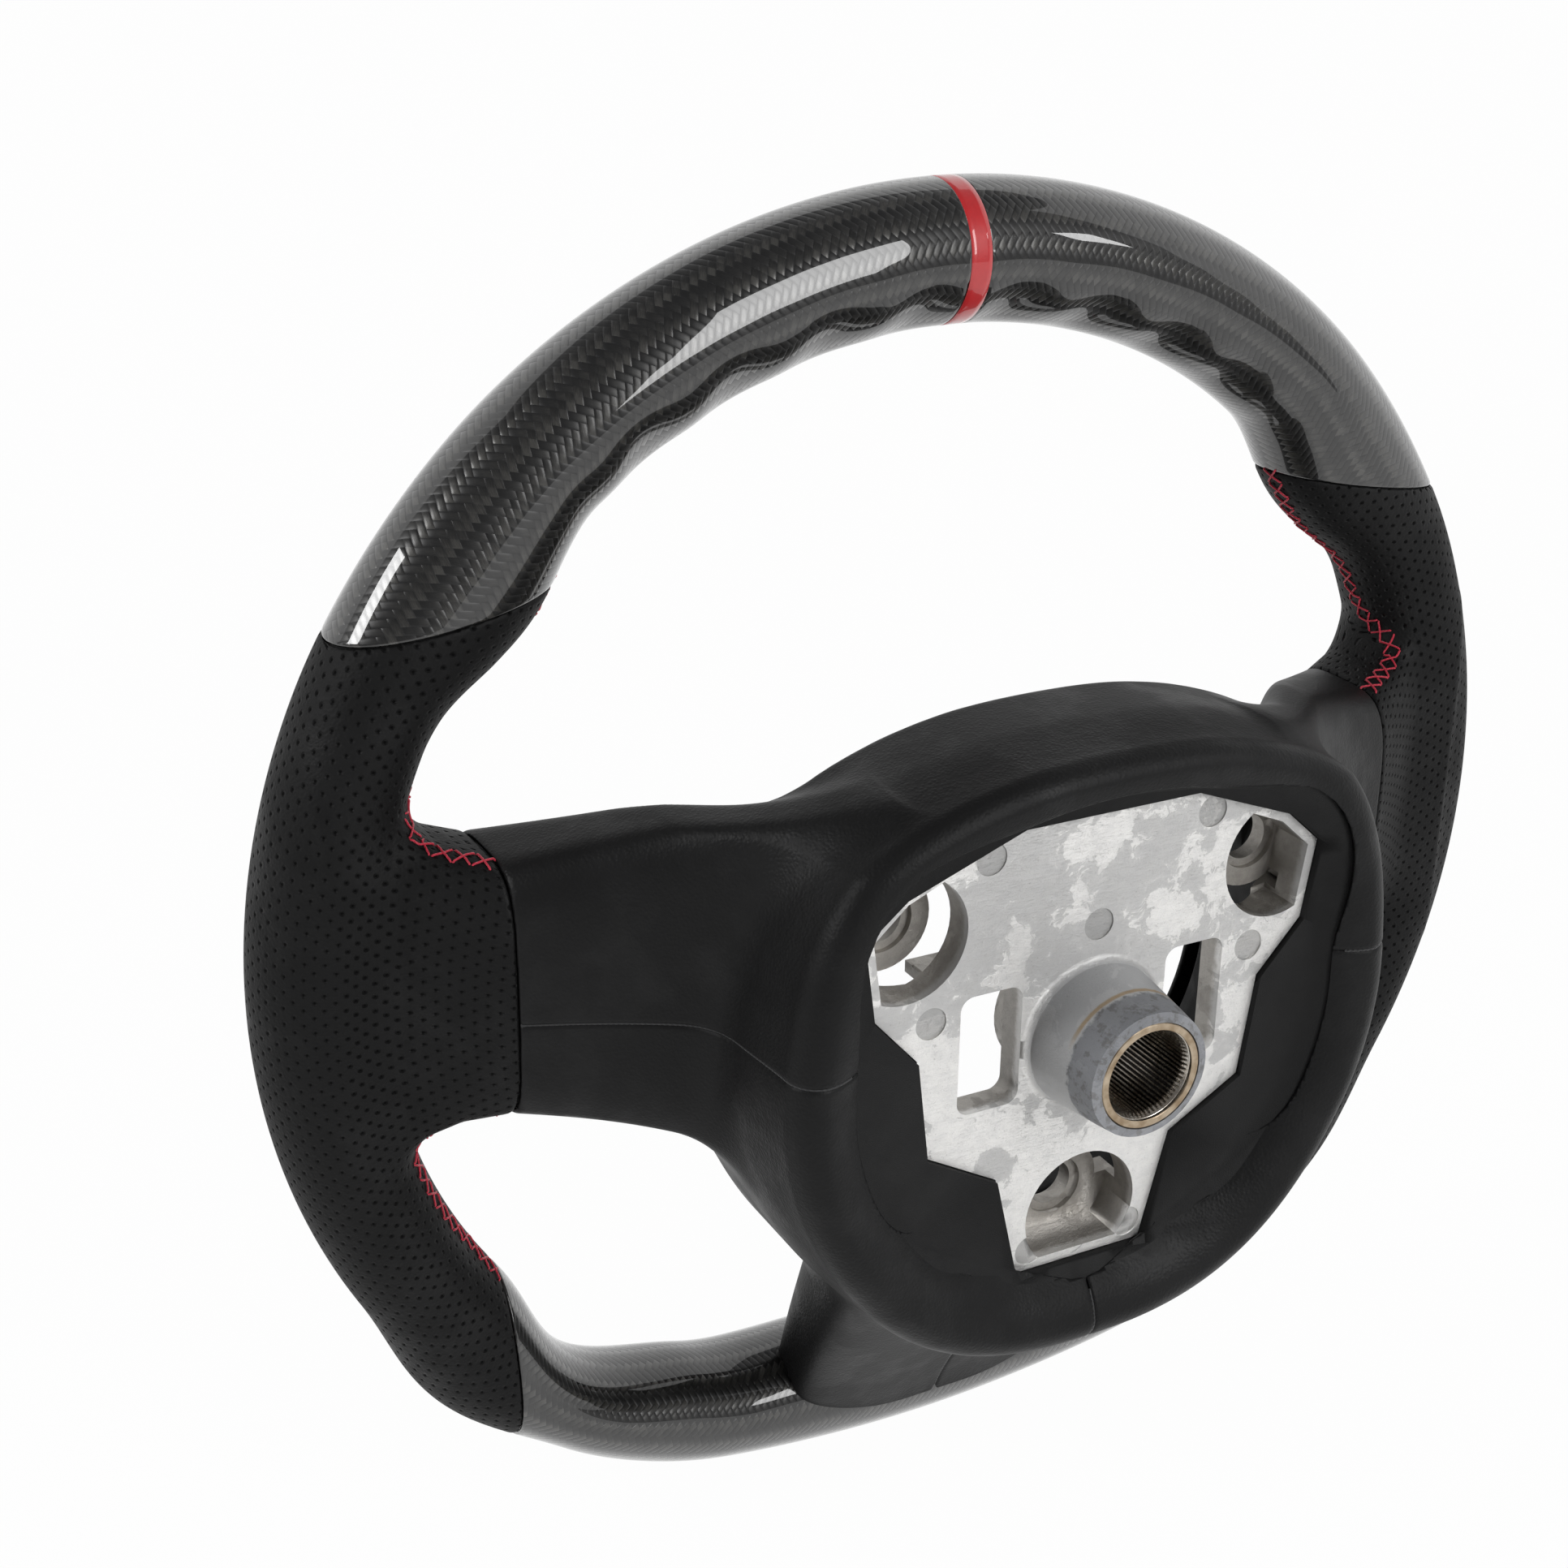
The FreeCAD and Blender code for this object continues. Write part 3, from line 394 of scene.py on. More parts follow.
def perforation_group():
    """Staggered punched holes from coordinates in millimetres: 1 on the leather, 0 in a hole."""
    w, vector, out = new_group("perforation", "Leather", "Height")
    x, y, _ = w.split(vector)
    row = y / HOLE_ROUND
    number = w.math("FLOOR", row)
    column = x / HOLE_ALONG + w.math("FLOORED_MODULO", number, 2.0) * 0.5
    loose = w.node("ShaderNodeSeparateColor",
                   Color=w.chance(w.join(w.math("FLOOR", column), number), "Color")).outputs
    off_u = w.math("MULTIPLY_ADD", Signal(w, loose[0]), 0.06, -0.53)
    off_v = w.math("MULTIPLY_ADD", Signal(w, loose[1]), 0.08, -0.54)
    du = (w.math("FRACT", column) + off_u) * HOLE_ALONG
    dv = (w.math("FRACT", row) + off_v) * HOLE_ROUND
    far = w.math("SQRT", du * du + dv * dv)
    w.fill(out, Leather=w.ease(far, 0.30, 0.46), Height=w.ease(far, 0.25, 0.85))
    return w.tree


def grain_group():
    """Leather grain from coordinates in millimetres: fine cells, softer folds and a worn mask."""
    w, vector, out = new_group("leather_grain", "Height", "Worn")
    cells = w.signal("ShaderNodeTexVoronoi", {"feature": "SMOOTH_F1"}, "Distance", Vector=vector,
                     Scale=1.15, Smoothness=0.35, Randomness=1.0)
    bumps = 1.0 - w.ease(cells, 0.05, 0.75)
    folds = w.noise(vector, 0.35, 2.0)
    w.fill(out, Height=bumps * 0.5 + w.noise(vector, 3.2, 3.0) * 0.35 + folds * 0.9,
           Worn=w.ease(w.noise(vector, 0.045, 4.0, 0.6), 0.42, 0.68))
    return w.tree


def cast_group():
    """As-cast metal from coordinates in millimetres: smooth patches on pale skin, pits, scratches."""
    w, vector, out = new_group("cast_skin", "Patch", "Cloud", "Speck", "Scratch", "Height")
    pull = w.signal("ShaderNodeVectorMath", {"operation": "SCALE"}, Scale=16.0,
                    Vector=w.noise(vector, 0.07, 3.0, output="Color"))
    moved = w.node("ShaderNodeVectorMath", {"operation": "ADD"})
    w.put(moved.inputs[0], vector)
    w.put(moved.inputs[1], pull)
    large = w.noise(Signal(w, moved.outputs[0]), 0.055, 9.0, 0.64)
    lifted = large + w.split(vector)[2] * -0.0011
    patch = w.ease(lifted, 0.47, 0.485) * 0.6 + w.ease(lifted, 0.40, 0.54) * 0.4
    cloud = w.noise(vector, 0.32, 6.0, 0.68)
    grit = w.noise(vector, 2.1, 4.0, 0.75)
    speck = w.ease(grit, 0.60, 0.72)
    long_way = w.signal("ShaderNodeMapping", Vector=vector, Rotation=(0.0, 0.7, 0.0),
                        Scale=(0.10, 1.0, 2.2))
    lines = w.noise(long_way, 1.0, 3.0, 0.8)
    scratch = w.ease(w.math("ABSOLUTE", lines - 0.5), 0.0, 0.012, 1.0, 0.0)
    height = patch * 0.3 + (grit * 0.55 + cloud * 0.6) - (speck + scratch) * 0.25
    w.fill(out, Patch=patch, Cloud=cloud, Speck=speck, Scratch=scratch, Height=height)
    return w.tree


def twist_group():
    """Twisted thread from coordinates that run along and round it: painted shade in the grooves
    between its turns, and height.
    """
    w, vector, out = new_group("thread_twist", "Shade", "Height")
    along, around, _ = w.split(vector)
    wave = w.math("MULTIPLY_ADD", w.math("SINE", along * 5.0 + around * 12.566), 0.5, 0.5)
    # Shade darkens the grooves between the turns: painted shade.
    w.fill(out, Height=wave, Shade=w.math("MULTIPLY_ADD", wave, 0.45, 0.6))
    return w.tree


groups = {tree.name: tree for tree in
          (weave_group(), perforation_group(), grain_group(), cast_group(), twist_group())}
print("effect groups:", sorted(groups))

# %% [markdown]
# Each finish starts from the same few nodes: a Principled shader, and coordinates either in
# millimetres of the object or from the surface's own UV map, which is also in millimetres.

# %% Material helpers
def new_material(name, rough, metal=0.0, **sockets):
    """Principled material with plain constants set on the shader's own sockets."""
    material = bpy.data.materials.new(name)
    material.use_nodes = True
    w = Wires(material.node_tree)
    shader = material.node_tree.nodes["Principled BSDF"]
    w.fill(shader, Roughness=rough, Metallic=metal, **sockets)
    return material, w, shader


def object_mm(w):
    """Object coordinates in millimetres."""
    place = w.signal("ShaderNodeTexCoord", None, "Object")
    return w.signal("ShaderNodeMapping", Vector=place, Scale=(1000.0, 1000.0, 1000.0))


def surface_mm(w):
    """The UV map, which holds millimetres along and round the piece."""
    return w.signal("ShaderNodeUVMap", {"uv_map": "surface"})


def effect(w, name, vector):
    """One of the shared groups on a vector: its outputs by name."""
    used = w.node("ShaderNodeGroup", {"node_tree": groups[name]}, Vector=vector)
    return {socket.name: Signal(w, socket) for socket in used.outputs}


def bumped(w, shader, height, distance, strength, socket="Normal", **after):
    """Feed a height, in units of the distance, to one of the shader's normals."""
    made = w.signal("ShaderNodeBump", Height=height, Distance=distance, Strength=strength, **after)
    w.put(shader.inputs[socket], made)


def tone(level):
    """A neutral colour."""
    return (level, level, level * 1.02, 1.0)


# %% [markdown]
# Now the finishes themselves. The lacquer over the weave is the Principled coat, whose own
# normal stays smooth while the weave's relief only bends the layer under it. The stripe
# shares that coat. Leather gets its grain as a bump, and the grips also get the punched
# holes, deep in their bump and painted near-black for the shade inside them.

# %% Carbon and stripe
def carbon_material():
    """Twill under a thick clear lacquer."""
    material, w, shader = new_material("carbon_lacquer", 0.34, 0.25, Coat_Weight=1.0,
                                       Coat_Roughness=0.012, Coat_IOR=1.55)
    weave = effect(w, "twill_weave", surface_mm(w))
    # The brighter colour stands for the tows' sheen: painted sheen, mixed in by the weave's shade.
    resin, painted_fibre_sheen = (0.0012, 0.0012, 0.0013, 1.0), (0.058, 0.056, 0.051, 1.0)
    w.fill(shader, Roughness=w.ease(weave["Warp"], 0.0, 1.0, 0.40, 0.30),
           Base_Color=w.mix(weave["Shade"], resin, painted_fibre_sheen))
    bumped(w, shader, weave["Height"], 0.00025, 0.8)
    bumped(w, shader, w.noise(object_mm(w), 0.05, 1.0), 0.0006, 0.25, "Coat Normal")
    return material


def stripe_material():
    """Red lacquer under the same clear coat."""
    material, w, shader = new_material("stripe_paint", 0.4, 0.0, Coat_Weight=1.0, Coat_Roughness=0.02,
                                       Coat_IOR=1.5)
    cloud = w.noise(object_mm(w), 0.6, 3.0)
    w.fill(shader, Base_Color=w.mix(cloud, (0.50, 0.012, 0.016, 1.0), (0.62, 0.018, 0.022, 1.0)))
    bumped(w, shader, cloud, 0.0002, 0.15)
    return material


# %% Leathers, threads and mouldings
def leather_material(name, shine, rough, worn_rough, dark, pale, punched):
    """Black leather, duller where it is fresh, with or without punched holes."""
    material, w, shader = new_material(name, 0.5, 0.0, Specular_IOR_Level=shine)
    grain = effect(w, "leather_grain", object_mm(w))
    rough = w.ease(grain["Worn"], 0.0, 1.0, rough, worn_rough)
    plain = w.mix(grain["Worn"], tone(dark), tone(pale))
    if not punched:
        w.fill(shader, Base_Color=plain, Roughness=rough)
        bumped(w, shader, grain["Height"], 0.00016, 0.55)
        return material
    holes = effect(w, "perforation", surface_mm(w))
    # The holes are painted near-black: painted shade inside them.
    w.fill(shader, Base_Color=w.mix(holes["Leather"], (0.0006, 0.0006, 0.0006, 1.0), plain),
           Roughness=w.math("MAXIMUM", rough, 1.0 - holes["Leather"]))
    relief = w.signal("ShaderNodeBump", Height=grain["Height"], Distance=0.00018, Strength=0.6)
    bumped(w, shader, holes["Height"], 0.00055, 1.0, Normal=relief)
    return material


def thread_material(name, colour):
    """Twisted sewing thread."""
    material, w, shader = new_material(name, 0.55, 0.0, Sheen_Weight=0.25)
    twist = effect(w, "thread_twist", surface_mm(w))
    # dark is the painted shade in the grooves between the thread's turns.
    dark = tuple(c * 0.45 for c in colour[:3]) + (1.0,)
    w.fill(shader, Base_Color=w.mix(twist["Shade"], dark, colour))
    bumped(w, shader, twist["Height"], 0.00012, 0.7)
    return material


def moulding_material(name, level, rough, relief):
    """Moulded black plastic or foam with a fine sanded texture."""
    material, w, shader = new_material(name, rough, 0.0, Specular_IOR_Level=0.25)
    place = object_mm(w)
    broad = w.noise(place, 0.12, 3.0)
    w.fill(shader, Base_Color=w.mix(w.ease(broad, 0.3, 0.7), tone(level * 0.85), tone(level * 1.25)),
           Roughness=w.ease(broad, 0.3, 0.7, rough - 0.05, rough + 0.08))
    bumped(w, shader, w.noise(place, 2.6, 4.0, 0.6), relief, 0.6)
    return material


# %% [markdown]
# The two metals depend on where they are. On the casting, the boss has been handled: it is
# duller, gritty and dark near its end, with a trace of brass, and the walls deep inside the
# pockets are darkened by painted shade. The steel insert is bright on its teeth, painted dark
# with shade between them deep in the bore, and brown on its end face. Both read the distance
# from the column axis and the depth from that face.

# %% Metals
INNER_WALL, BOSS_FOOT, BAND_START, BRASS_RING = -25.0, -21.5, -8.6, -10.4


def round_the_axis(w, place):
    """Distance from the column axis, depth from the boss's end face, and height, in millimetres."""
    x, y, z = w.split(place)
    return w.math("SQRT", x * x + z * z), y, z


def handled_boss(w, place, skin, low, tint, gritty, roughness):
    """The casting's tint, grit and roughness with the boss's wear and painted shade on the inner
    walls.
    """
    radius, depth, height = round_the_axis(w, place)
    # The walls deeper than INNER_WALL are darkened with painted shade.
    below = depth + w.math("MULTIPLY_ADD", skin["Cloud"], 3.0, -1.5)
    painted_wall_shade = w.mix(skin["Cloud"], (0.16, 0.147, 0.128, 1.0), (0.52, 0.49, 0.45, 1.0))
    tint = w.mix(w.ease(below, INNER_WALL - 2.5, INNER_WALL, 0.85, 0.0), tint, painted_wall_shade)
    wobble = w.math("MULTIPLY_ADD", skin["Cloud"], 5.0, -2.5)
    on_boss = w.ease(radius, 19.2, 21.5, 1.0, 0.0) * w.ease(depth, BOSS_FOOT - 2.5, BOSS_FOOT)
    band = on_boss * w.ease(depth + wobble, BAND_START - 1.2, BAND_START)
    brass = w.ease(w.math("ABSOLUTE", depth - BRASS_RING), 0.25, 0.9, 1.0, 0.0)
    brass = brass * on_boss * w.ease(height, 5.0, 12.0, 0.0, 0.7)
    tint = w.mix(on_boss * 0.8, tint, (low * 0.88, low * 0.89, low * 0.91, 1.0))
    tint = w.mix(band * 0.7, tint, (low * 0.39, low * 0.405, low * 0.44, 1.0))
    tint = w.mix(brass, tint, (0.42, 0.27, 0.10, 1.0))
    gritty = w.math("MINIMUM", gritty + band * w.ease(skin["Cloud"], 0.5, 0.6), 1.0)
    return tint, gritty, roughness + band * 0.12


def cast_material(name, low, high, rough, boss=False):
    """As-cast aluminium between two levels of grey, with grit and scratches."""
    material, w, shader = new_material(name, rough, 1.0)
    place = object_mm(w)
    skin = effect(w, "cast_skin", place)
    tint = w.mix(skin["Patch"], (low * 1.005, low, low * 0.985, 1.0),
                 (high * 1.01, high, high * 0.975, 1.0))
    tint = w.mix(w.ease(skin["Cloud"], 0.35, 0.7) * 0.22, tint, tone(low * 0.9))
    roughness = w.ease(skin["Patch"], 0.0, 1.0, rough + 0.08, rough - 0.04)
    gritty = skin["Speck"]
    if boss:
        tint, gritty, roughness = handled_boss(w, place, skin, low, tint, gritty, roughness)
    tint = w.mix(gritty * 0.5, tint, (0.16, 0.15, 0.14, 1.0))
    tint = w.mix(skin["Scratch"] * 0.25, tint, tone(high * 0.6))
    w.fill(shader, Base_Color=tint, Roughness=roughness)
    bumped(w, shader, skin["Height"], 0.0004, 0.6)
    return material


def steel_material():
    """Turned and broached steel: bright teeth, painted shade between them deep in the bore, a brown
    film on the end face.
    """
    material, w, shader = new_material("steel", 0.3, 1.0)
    place = object_mm(w)
    radius, depth, _ = round_the_axis(w, place)
    turned = w.signal("ShaderNodeMapping", Vector=place, Scale=(0.4, 6.0, 0.4))
    rings = w.noise(turned, 1.0, 3.0)
    film = w.noise(place, 0.25, 4.0)
    tint = w.mix(w.ease(film, 0.35, 0.65), (0.46, 0.41, 0.35, 1.0), (0.70, 0.67, 0.62, 1.0))
    face = w.ease(depth, -0.5, -0.3)
    stained = w.mix(w.ease(film, 0.3, 0.7), (0.30, 0.22, 0.14, 1.0), (0.52, 0.43, 0.32, 1.0))
    # groove paints the spaces between the teeth deep in the bore near-black: painted shade.
    groove = w.ease(radius, 10.75, 10.95) * w.ease(depth, -3.6, -3.2, 1.0, 0.0)
    groove = groove * w.ease(radius, 11.5, 11.8, 1.0, 0.0)
    w.fill(shader, Base_Color=w.mix(groove, w.mix(face, tint, stained), (0.035, 0.032, 0.03, 1.0)),
           Roughness=w.ease(rings, 0.3, 0.7, 0.20, 0.36) + face * 0.12)
    bumped(w, shader, rings, 0.00008, 0.5)
    return material


finish = {
    "carbon_lacquer": carbon_material(),
    "stripe_paint": stripe_material(),
    "perforated_leather": leather_material("perforated_leather", 0.17, 0.60, 0.50, 0.0056, 0.0087,
                                           punched=True),
    "smooth_leather": leather_material("smooth_leather", 0.16, 0.50, 0.42, 0.008, 0.012,
                                       punched=False),
    "contrast_thread": thread_material("contrast_thread", (0.62, 0.012, 0.045, 1.0)),
    "black_thread": thread_material("black_thread", (0.012, 0.012, 0.013, 1.0)),
    "black_moulding": moulding_material("black_moulding", 0.007, 0.6, 0.0002),
    "rim_foam": moulding_material("rim_foam", 0.03, 0.8, 0.0004),
    "cast_alloy": cast_material("cast_alloy", 0.60, 0.86, 0.46, boss=True),
    "cast_mark": cast_material("cast_mark", 0.46, 0.52, 0.42),
    "core_alloy": cast_material("core_alloy", 0.30, 0.5, 0.5),
    "steel": steel_material(),
}
print(len(finish), "finishes")

# %% [markdown]
# ## The rim's surface
#
# A point of the rim is given by its angle from twelve o'clock and by how far round the tube
# it lies: 0 is the outermost line, 90 faces the column and 180 is the innermost line. The
# tube's centre line is a circle that turns into two corner arcs and a shallow bottom arc.
# The section is thinner where it is gripped, swells inwards above the thumbs, leans outwards
# at the lower corners, and has four finger waves on each side of the top.

# %% Rim formulas
WAVE_PITCH, WAVE_DEPTH, WAVE_PLACE = 9.5, 1.6, 132


def ramp(amount, start, end):
    """Ease from 0 at start to 1 at end: s * s * (3 - 2 s)."""
    share = np.clip((amount - start) / (end - start), 0.0, 1.0)
    return share * share * (3 - 2 * share)


def bump(amount, middle, reach):
    """Squared cosine hump, 1 at the middle and 0 a reach away."""
    return np.cos(np.pi / 2 * np.minimum(np.abs(amount - middle) / reach, 1.0)) ** 2


def folded(angle):
    """The matching angle between twelve and six o'clock."""
    return 180 - np.abs(180 - np.abs(angle))


def ring_radius(angle):
    """Radius of the centre line: along the ray, the far crossing with whichever arc it meets."""
    turn = np.radians(folded(angle))
    sine, cosine = np.sin(turn), np.cos(turn)
    corner, bottom, lowest = 100.0, 360.0, 152.9
    bottom_z = bottom - lowest
    near, far = RING - corner, bottom - corner
    corner_z = (bottom_z ** 2 + near ** 2 - far ** 2) / (2 * bottom_z)
    corner_x = math.sqrt(near ** 2 - corner_z ** 2)
    foot = math.atan2(corner_x * bottom / far, bottom_z + (corner_z - bottom_z) * bottom / far)

    def crossing(centre_x, centre_z, radius):
        along = sine * centre_x + cosine * centre_z
        square = along ** 2 - centre_x ** 2 - centre_z ** 2 + radius ** 2
        return along + np.sqrt(np.maximum(square, 0.0))

    radius = np.where(turn <= foot, crossing(corner_x, corner_z, corner),
                      crossing(0.0, bottom_z, bottom))
    return np.where(turn <= math.acos(corner_z / near), RING, radius)


def rim_radii(angle):
    """Inner and outer radius of the covered rim."""
    turn = folded(angle)
    middle = ring_radius(turn)
    gripped = ramp(turn, 56, 66) * (1 - ramp(turn, 152, 172))
    inner = middle - TUBE + 3.7 * gripped + 7.5 * bump(turn, 139, 14) - 5.8 * bump(turn, 51, 12)
    outer = middle + TUBE + 4.5 * bump(turn, 130, 12)
    return inner, outer


def rim_points(angle, around, skin=0.0):
    """Point = centre + radial x (middle + half cos around) + column axis x deep sin around."""
    turn = folded(angle)
    inner, outer = rim_radii(angle)
    ripple = (1 - np.cos(2 * np.pi * turn / WAVE_PITCH)) / 2
    sink = WAVE_DEPTH * ripple * (1 - ramp(turn, 34, 44)) * bump(around, WAVE_PLACE, 44)
    half = (outer - inner) / 2 + skin - sink
    deep = TUBE + skin - sink
    reach = (inner + outer) / 2 + half * np.cos(np.radians(around))
    turn = np.radians(angle)
    across, up = reach * np.sin(turn), RIM_LIFT + reach * np.cos(turn)
    return np.stack(np.broadcast_arrays(across, deep * np.sin(np.radians(around)), up), -1)


def solve_angle(around, start, end, gap):
    """The angle for each place round the tube where a gap function crosses zero, by halving."""
    low_side, high_side = np.full(around.shape, start), np.full(around.shape, end)
    for _ in range(40):
        middle = (low_side + high_side) / 2
        inside = gap(rim_points(middle, around)) > 0
        low_side, high_side = np.where(inside, middle, low_side), np.where(inside, high_side, middle)
    return (low_side + high_side) / 2


TILT = math.radians(8.5)
UPPER_POINT = np.array([157.0, 0.0, RIM_LIFT + 90.5])
UPPER_NORMAL = np.array([math.sin(TILT), 0.0, math.cos(TILT)])
LOWER_REACH = 125.0
HALF_GAP = 0.1


def above_upper(points):
    """Height over the slanted joint at the ends of the carbon top."""
    return (points - UPPER_POINT) @ UPPER_NORMAL


joint = solve_angle(np.array([0.0]), 45.0, 80.0, above_upper)[0]
print("top joint at %.1f degrees outside" % joint)

# %% [markdown]
# The carbon pieces are closed shells: an outer skin, rounded over at its ends, and an inner
# skin 1.8 mm below it. Both are rows of one grid that wraps onto itself in both directions.
# A shallow groove round the top takes the painted stripe, which lies flush in it.

# %% Carbon shells and stripe
AROUND = np.arange(112) * (360.0 / 112)
SHELL_WALL = 1.8
EVEN_TO = 60.0
GROOVE_HALF, GROOVE_DEPTH = 2.9, 0.35


def corners_of(mesh):
    """The vertex number at every corner of every face."""
    corner = np.zeros(len(mesh.loops), int)
    mesh.loops.foreach_get("vertex_index", corner)
    return corner


def write_map(mesh, u, v):
    """The UV map in millimetres, from two numbers per corner."""
    layer = mesh.uv_layers.new(name="surface")
    layer.data.foreach_set("uv", np.stack([u, v], -1).ravel())


def surface_map(mesh, angle):
    """Map a rim grid by its lengths, unwrapped where a face crosses the seam round the tube."""
    corner = corners_of(mesh)
    v = (np.radians(AROUND) * TUBE)[corner % len(AROUND)].reshape(-1, 4)
    turn = 2 * np.pi * TUBE
    v = np.where(v.max(1, keepdims=True) - v > turn / 2, v + turn, v).reshape(-1)
    write_map(mesh, (np.radians(angle) * RING).ravel()[corner], v)


def rolled(distance, radius=0.7):
    """How far a rounded end sinks: radius - sqrt(radius^2 - (radius - distance)^2)."""
    left = np.clip(radius - distance, 0.0, radius)
    return radius - np.sqrt(radius ** 2 - left ** 2)


def carbon_shell(name, angle_of, rows_out, rows_in, groove):
    """Closed shell over angles given per row share and place round the tube."""
    near_end = np.array([0.0, 0.0006, 0.0015, 0.003, 0.006])
    shares = np.concatenate([near_end, np.linspace(0.01, 0.99, rows_out), 1 - near_end[::-1]])
    if groove:
        edge = GROOVE_HALF / (EVEN_TO * np.pi / 180 * RING)
        shares = np.concatenate([shares, 0.5 + 0.5 * edge * np.array([-1.03, -0.99, 0.99, 1.03])])
    shares = np.sort(shares)
    angle = angle_of(shares[:, None], AROUND[None, :])
    length = np.abs(angle_of(1.0, AROUND) - angle_of(0.0, AROUND))[None, :] * np.pi / 180 * RING
    skin = -rolled(np.minimum(shares, 1 - shares)[:, None] * length)
    if groove:
        skin = np.where(np.abs(rim_points(angle, AROUND)[..., 0]) < GROOVE_HALF, -GROOVE_DEPTH, skin)
    inner_angle = angle_of(np.linspace(1.0, 0.0, rows_in)[:, None], AROUND[None, :])
    points = np.concatenate([rim_points(angle, AROUND, skin),
                             rim_points(inner_angle, AROUND, -SHELL_WALL)])
    mesh = grid_mesh(name, to_metres(points), wrap_u=True, wrap_v=True)
    every = np.concatenate([angle, inner_angle])
    surface_map(mesh, every)
    return add_object(name, mesh, finish["carbon_lacquer"])


def top_angle(share, around):
    """Evenly spaced near twelve o'clock, drawn out to the joint at the ends."""
    end = solve_angle(np.asarray(around, float), 45.0, 80.0, lambda p: above_upper(p) - HALF_GAP)
    side = 2 * np.asarray(share) - 1
    stretch = ramp(np.abs(side), 0.3, 1.0)
    return side * EVEN_TO + np.sign(side) * (end - EVEN_TO) * stretch


def foot_angle(share, around):
    """From the joint on one side through six o'clock to the other."""
    end = solve_angle(np.asarray(around, float), 100.0, 160.0,
                      lambda p: p[..., 0] - LOWER_REACH + HALF_GAP)
    return 180.0 + (180.0 - end) * (2 * np.asarray(share) - 1)


def finished(thing, node):
    """Ride the wheel's only body and stand for a CAD node, which is hidden."""
    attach(thing, "root")
    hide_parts(node)


top = carbon_shell("carbon_top", top_angle, 420, 60, True)
finished(top, "upper_carbon_shell")
bottom = carbon_shell("carbon_bottom", foot_angle, 260, 40, False)
finished(bottom, "lower_carbon_shell")


def stripe():
    """A closed band, 0.3 mm thick, flush with the lacquer."""
    width = np.array([-2.85, -2.8, -1.4, 0.0, 1.4, 2.8, 2.85, 2.85, 0.0, -2.85])
    depth = np.array([-0.06, 0.0, 0.0, 0.0, 0.0, 0.0, -0.06, -0.3, -0.3, -0.3])
    reach = rim_points(np.zeros(AROUND.shape), AROUND)[:, 2] - RIM_LIFT
    angle = np.degrees(np.arcsin(width[:, None] / reach[None, :]))
    points = rim_points(angle, AROUND, depth[:, None])
    mesh = grid_mesh("stripe", to_metres(points), wrap_u=True, wrap_v=True)
    surface_map(mesh, angle)
    return add_object("stripe", mesh, finish["stripe_paint"])


finished(stripe(), "centre_stripe")
print("carbon:", len(top.data.polygons), "and", len(bottom.data.polygons), "faces")

# %% [markdown]
# ## Soft shapes as fields
#
# Leather stretched over foam has no edges where two shapes meet, so those pieces come from a
# field: a number that is negative inside, zero on the surface and positive outside, in
# millimetres. Two shapes are joined by a smooth minimum, which rounds the valley between
# them. A rough voxel mesh of the overlapping shapes gives the vertices, and a few Newton
# steps, each along the field's gradient, move them exactly onto its zero level.

# %% Field helpers
def smooth_min(first, second, blend):
    """Minimum of two fields with a rounded valley of that size."""
    share = np.clip(0.5 + 0.5 * (second - first) / blend, 0.0, 1.0)
    return second + (first - second) * share - blend * share * (1 - share)


def smooth_max(first, second, blend):
    """Maximum of two fields with a rounded ridge of that size."""
    return -smooth_min(-first, -second, blend)


def superellipse(a, b, half_a, half_b, power):
    """Near-distance (e - 1) / |grad e| to |a / A|^n + |b / B|^n = 1, with e its n-th root."""
    a, b = np.abs(a) + 1e-6, np.abs(b) + 1e-6
    e = ((a / half_a) ** power + (b / half_b) ** power) ** (1 / power)
    slope_a = (a / half_a) ** (power - 1) / half_a
    slope_b = (b / half_b) ** (power - 1) / half_b
    return (e - 1) * e ** (power - 1) / np.hypot(slope_a, slope_b)


def gradient(field, points, step=0.02):
    """Central differences of a field along the three axes."""
    parts = [field(points + offset) - field(points - offset) for offset in np.eye(3) * step]
    return np.stack(parts, -1) / (2 * step)


def onto(field, points, steps=5, level=0.0, plane=None):
    """Newton steps onto a level; plane keeps one coordinate fixed."""
    points = np.array(points, float)
    for _ in range(steps):
        slope = gradient(field, points)
        if plane is not None:
            slope[:, plane] = 0.0
        pull = (field(points) - level) / np.maximum((slope ** 2).sum(-1), 1e-9)
        move = slope * pull[:, None]
        far = np.linalg.norm(move, axis=-1, keepdims=True)
        points -= move * np.minimum(1.0, 3.0 / np.maximum(far, 1e-9))
    return points


def normals_of(field, points):
    """Unit gradients."""
    slope = gradient(field, points)
    return slope / np.maximum(np.linalg.norm(slope, axis=-1, keepdims=True), 1e-9)


def closed_grid(points):
    """Vertices and faces of a tube of rings, with both ends closed by one face."""
    rings, sides = points.shape[:2]
    index = np.arange(rings * sides).reshape(rings, sides)
    wrapped = np.hstack([index, index[:, :1]])
    quads = np.stack([wrapped[:-1, :-1], wrapped[1:, :-1], wrapped[1:, 1:], wrapped[:-1, 1:]], -1)
    faces = quads.reshape(-1, 4).tolist()
    return points.reshape(-1, 3), faces + [index[0].tolist(), index[-1][::-1].tolist()]


def opened(mesh):
    """The mesh as a BMesh to edit."""
    bm = bmesh.new()
    bm.from_mesh(mesh)
    return bm


def written(bm, mesh):
    """Write an edited BMesh back."""
    bm.to_mesh(mesh)
    bm.free()


def turn_outwards(mesh):
    """Let every face look outwards."""
    bm = opened(mesh)
    bmesh.ops.recalc_face_normals(bm, faces=bm.faces)
    written(bm, mesh)


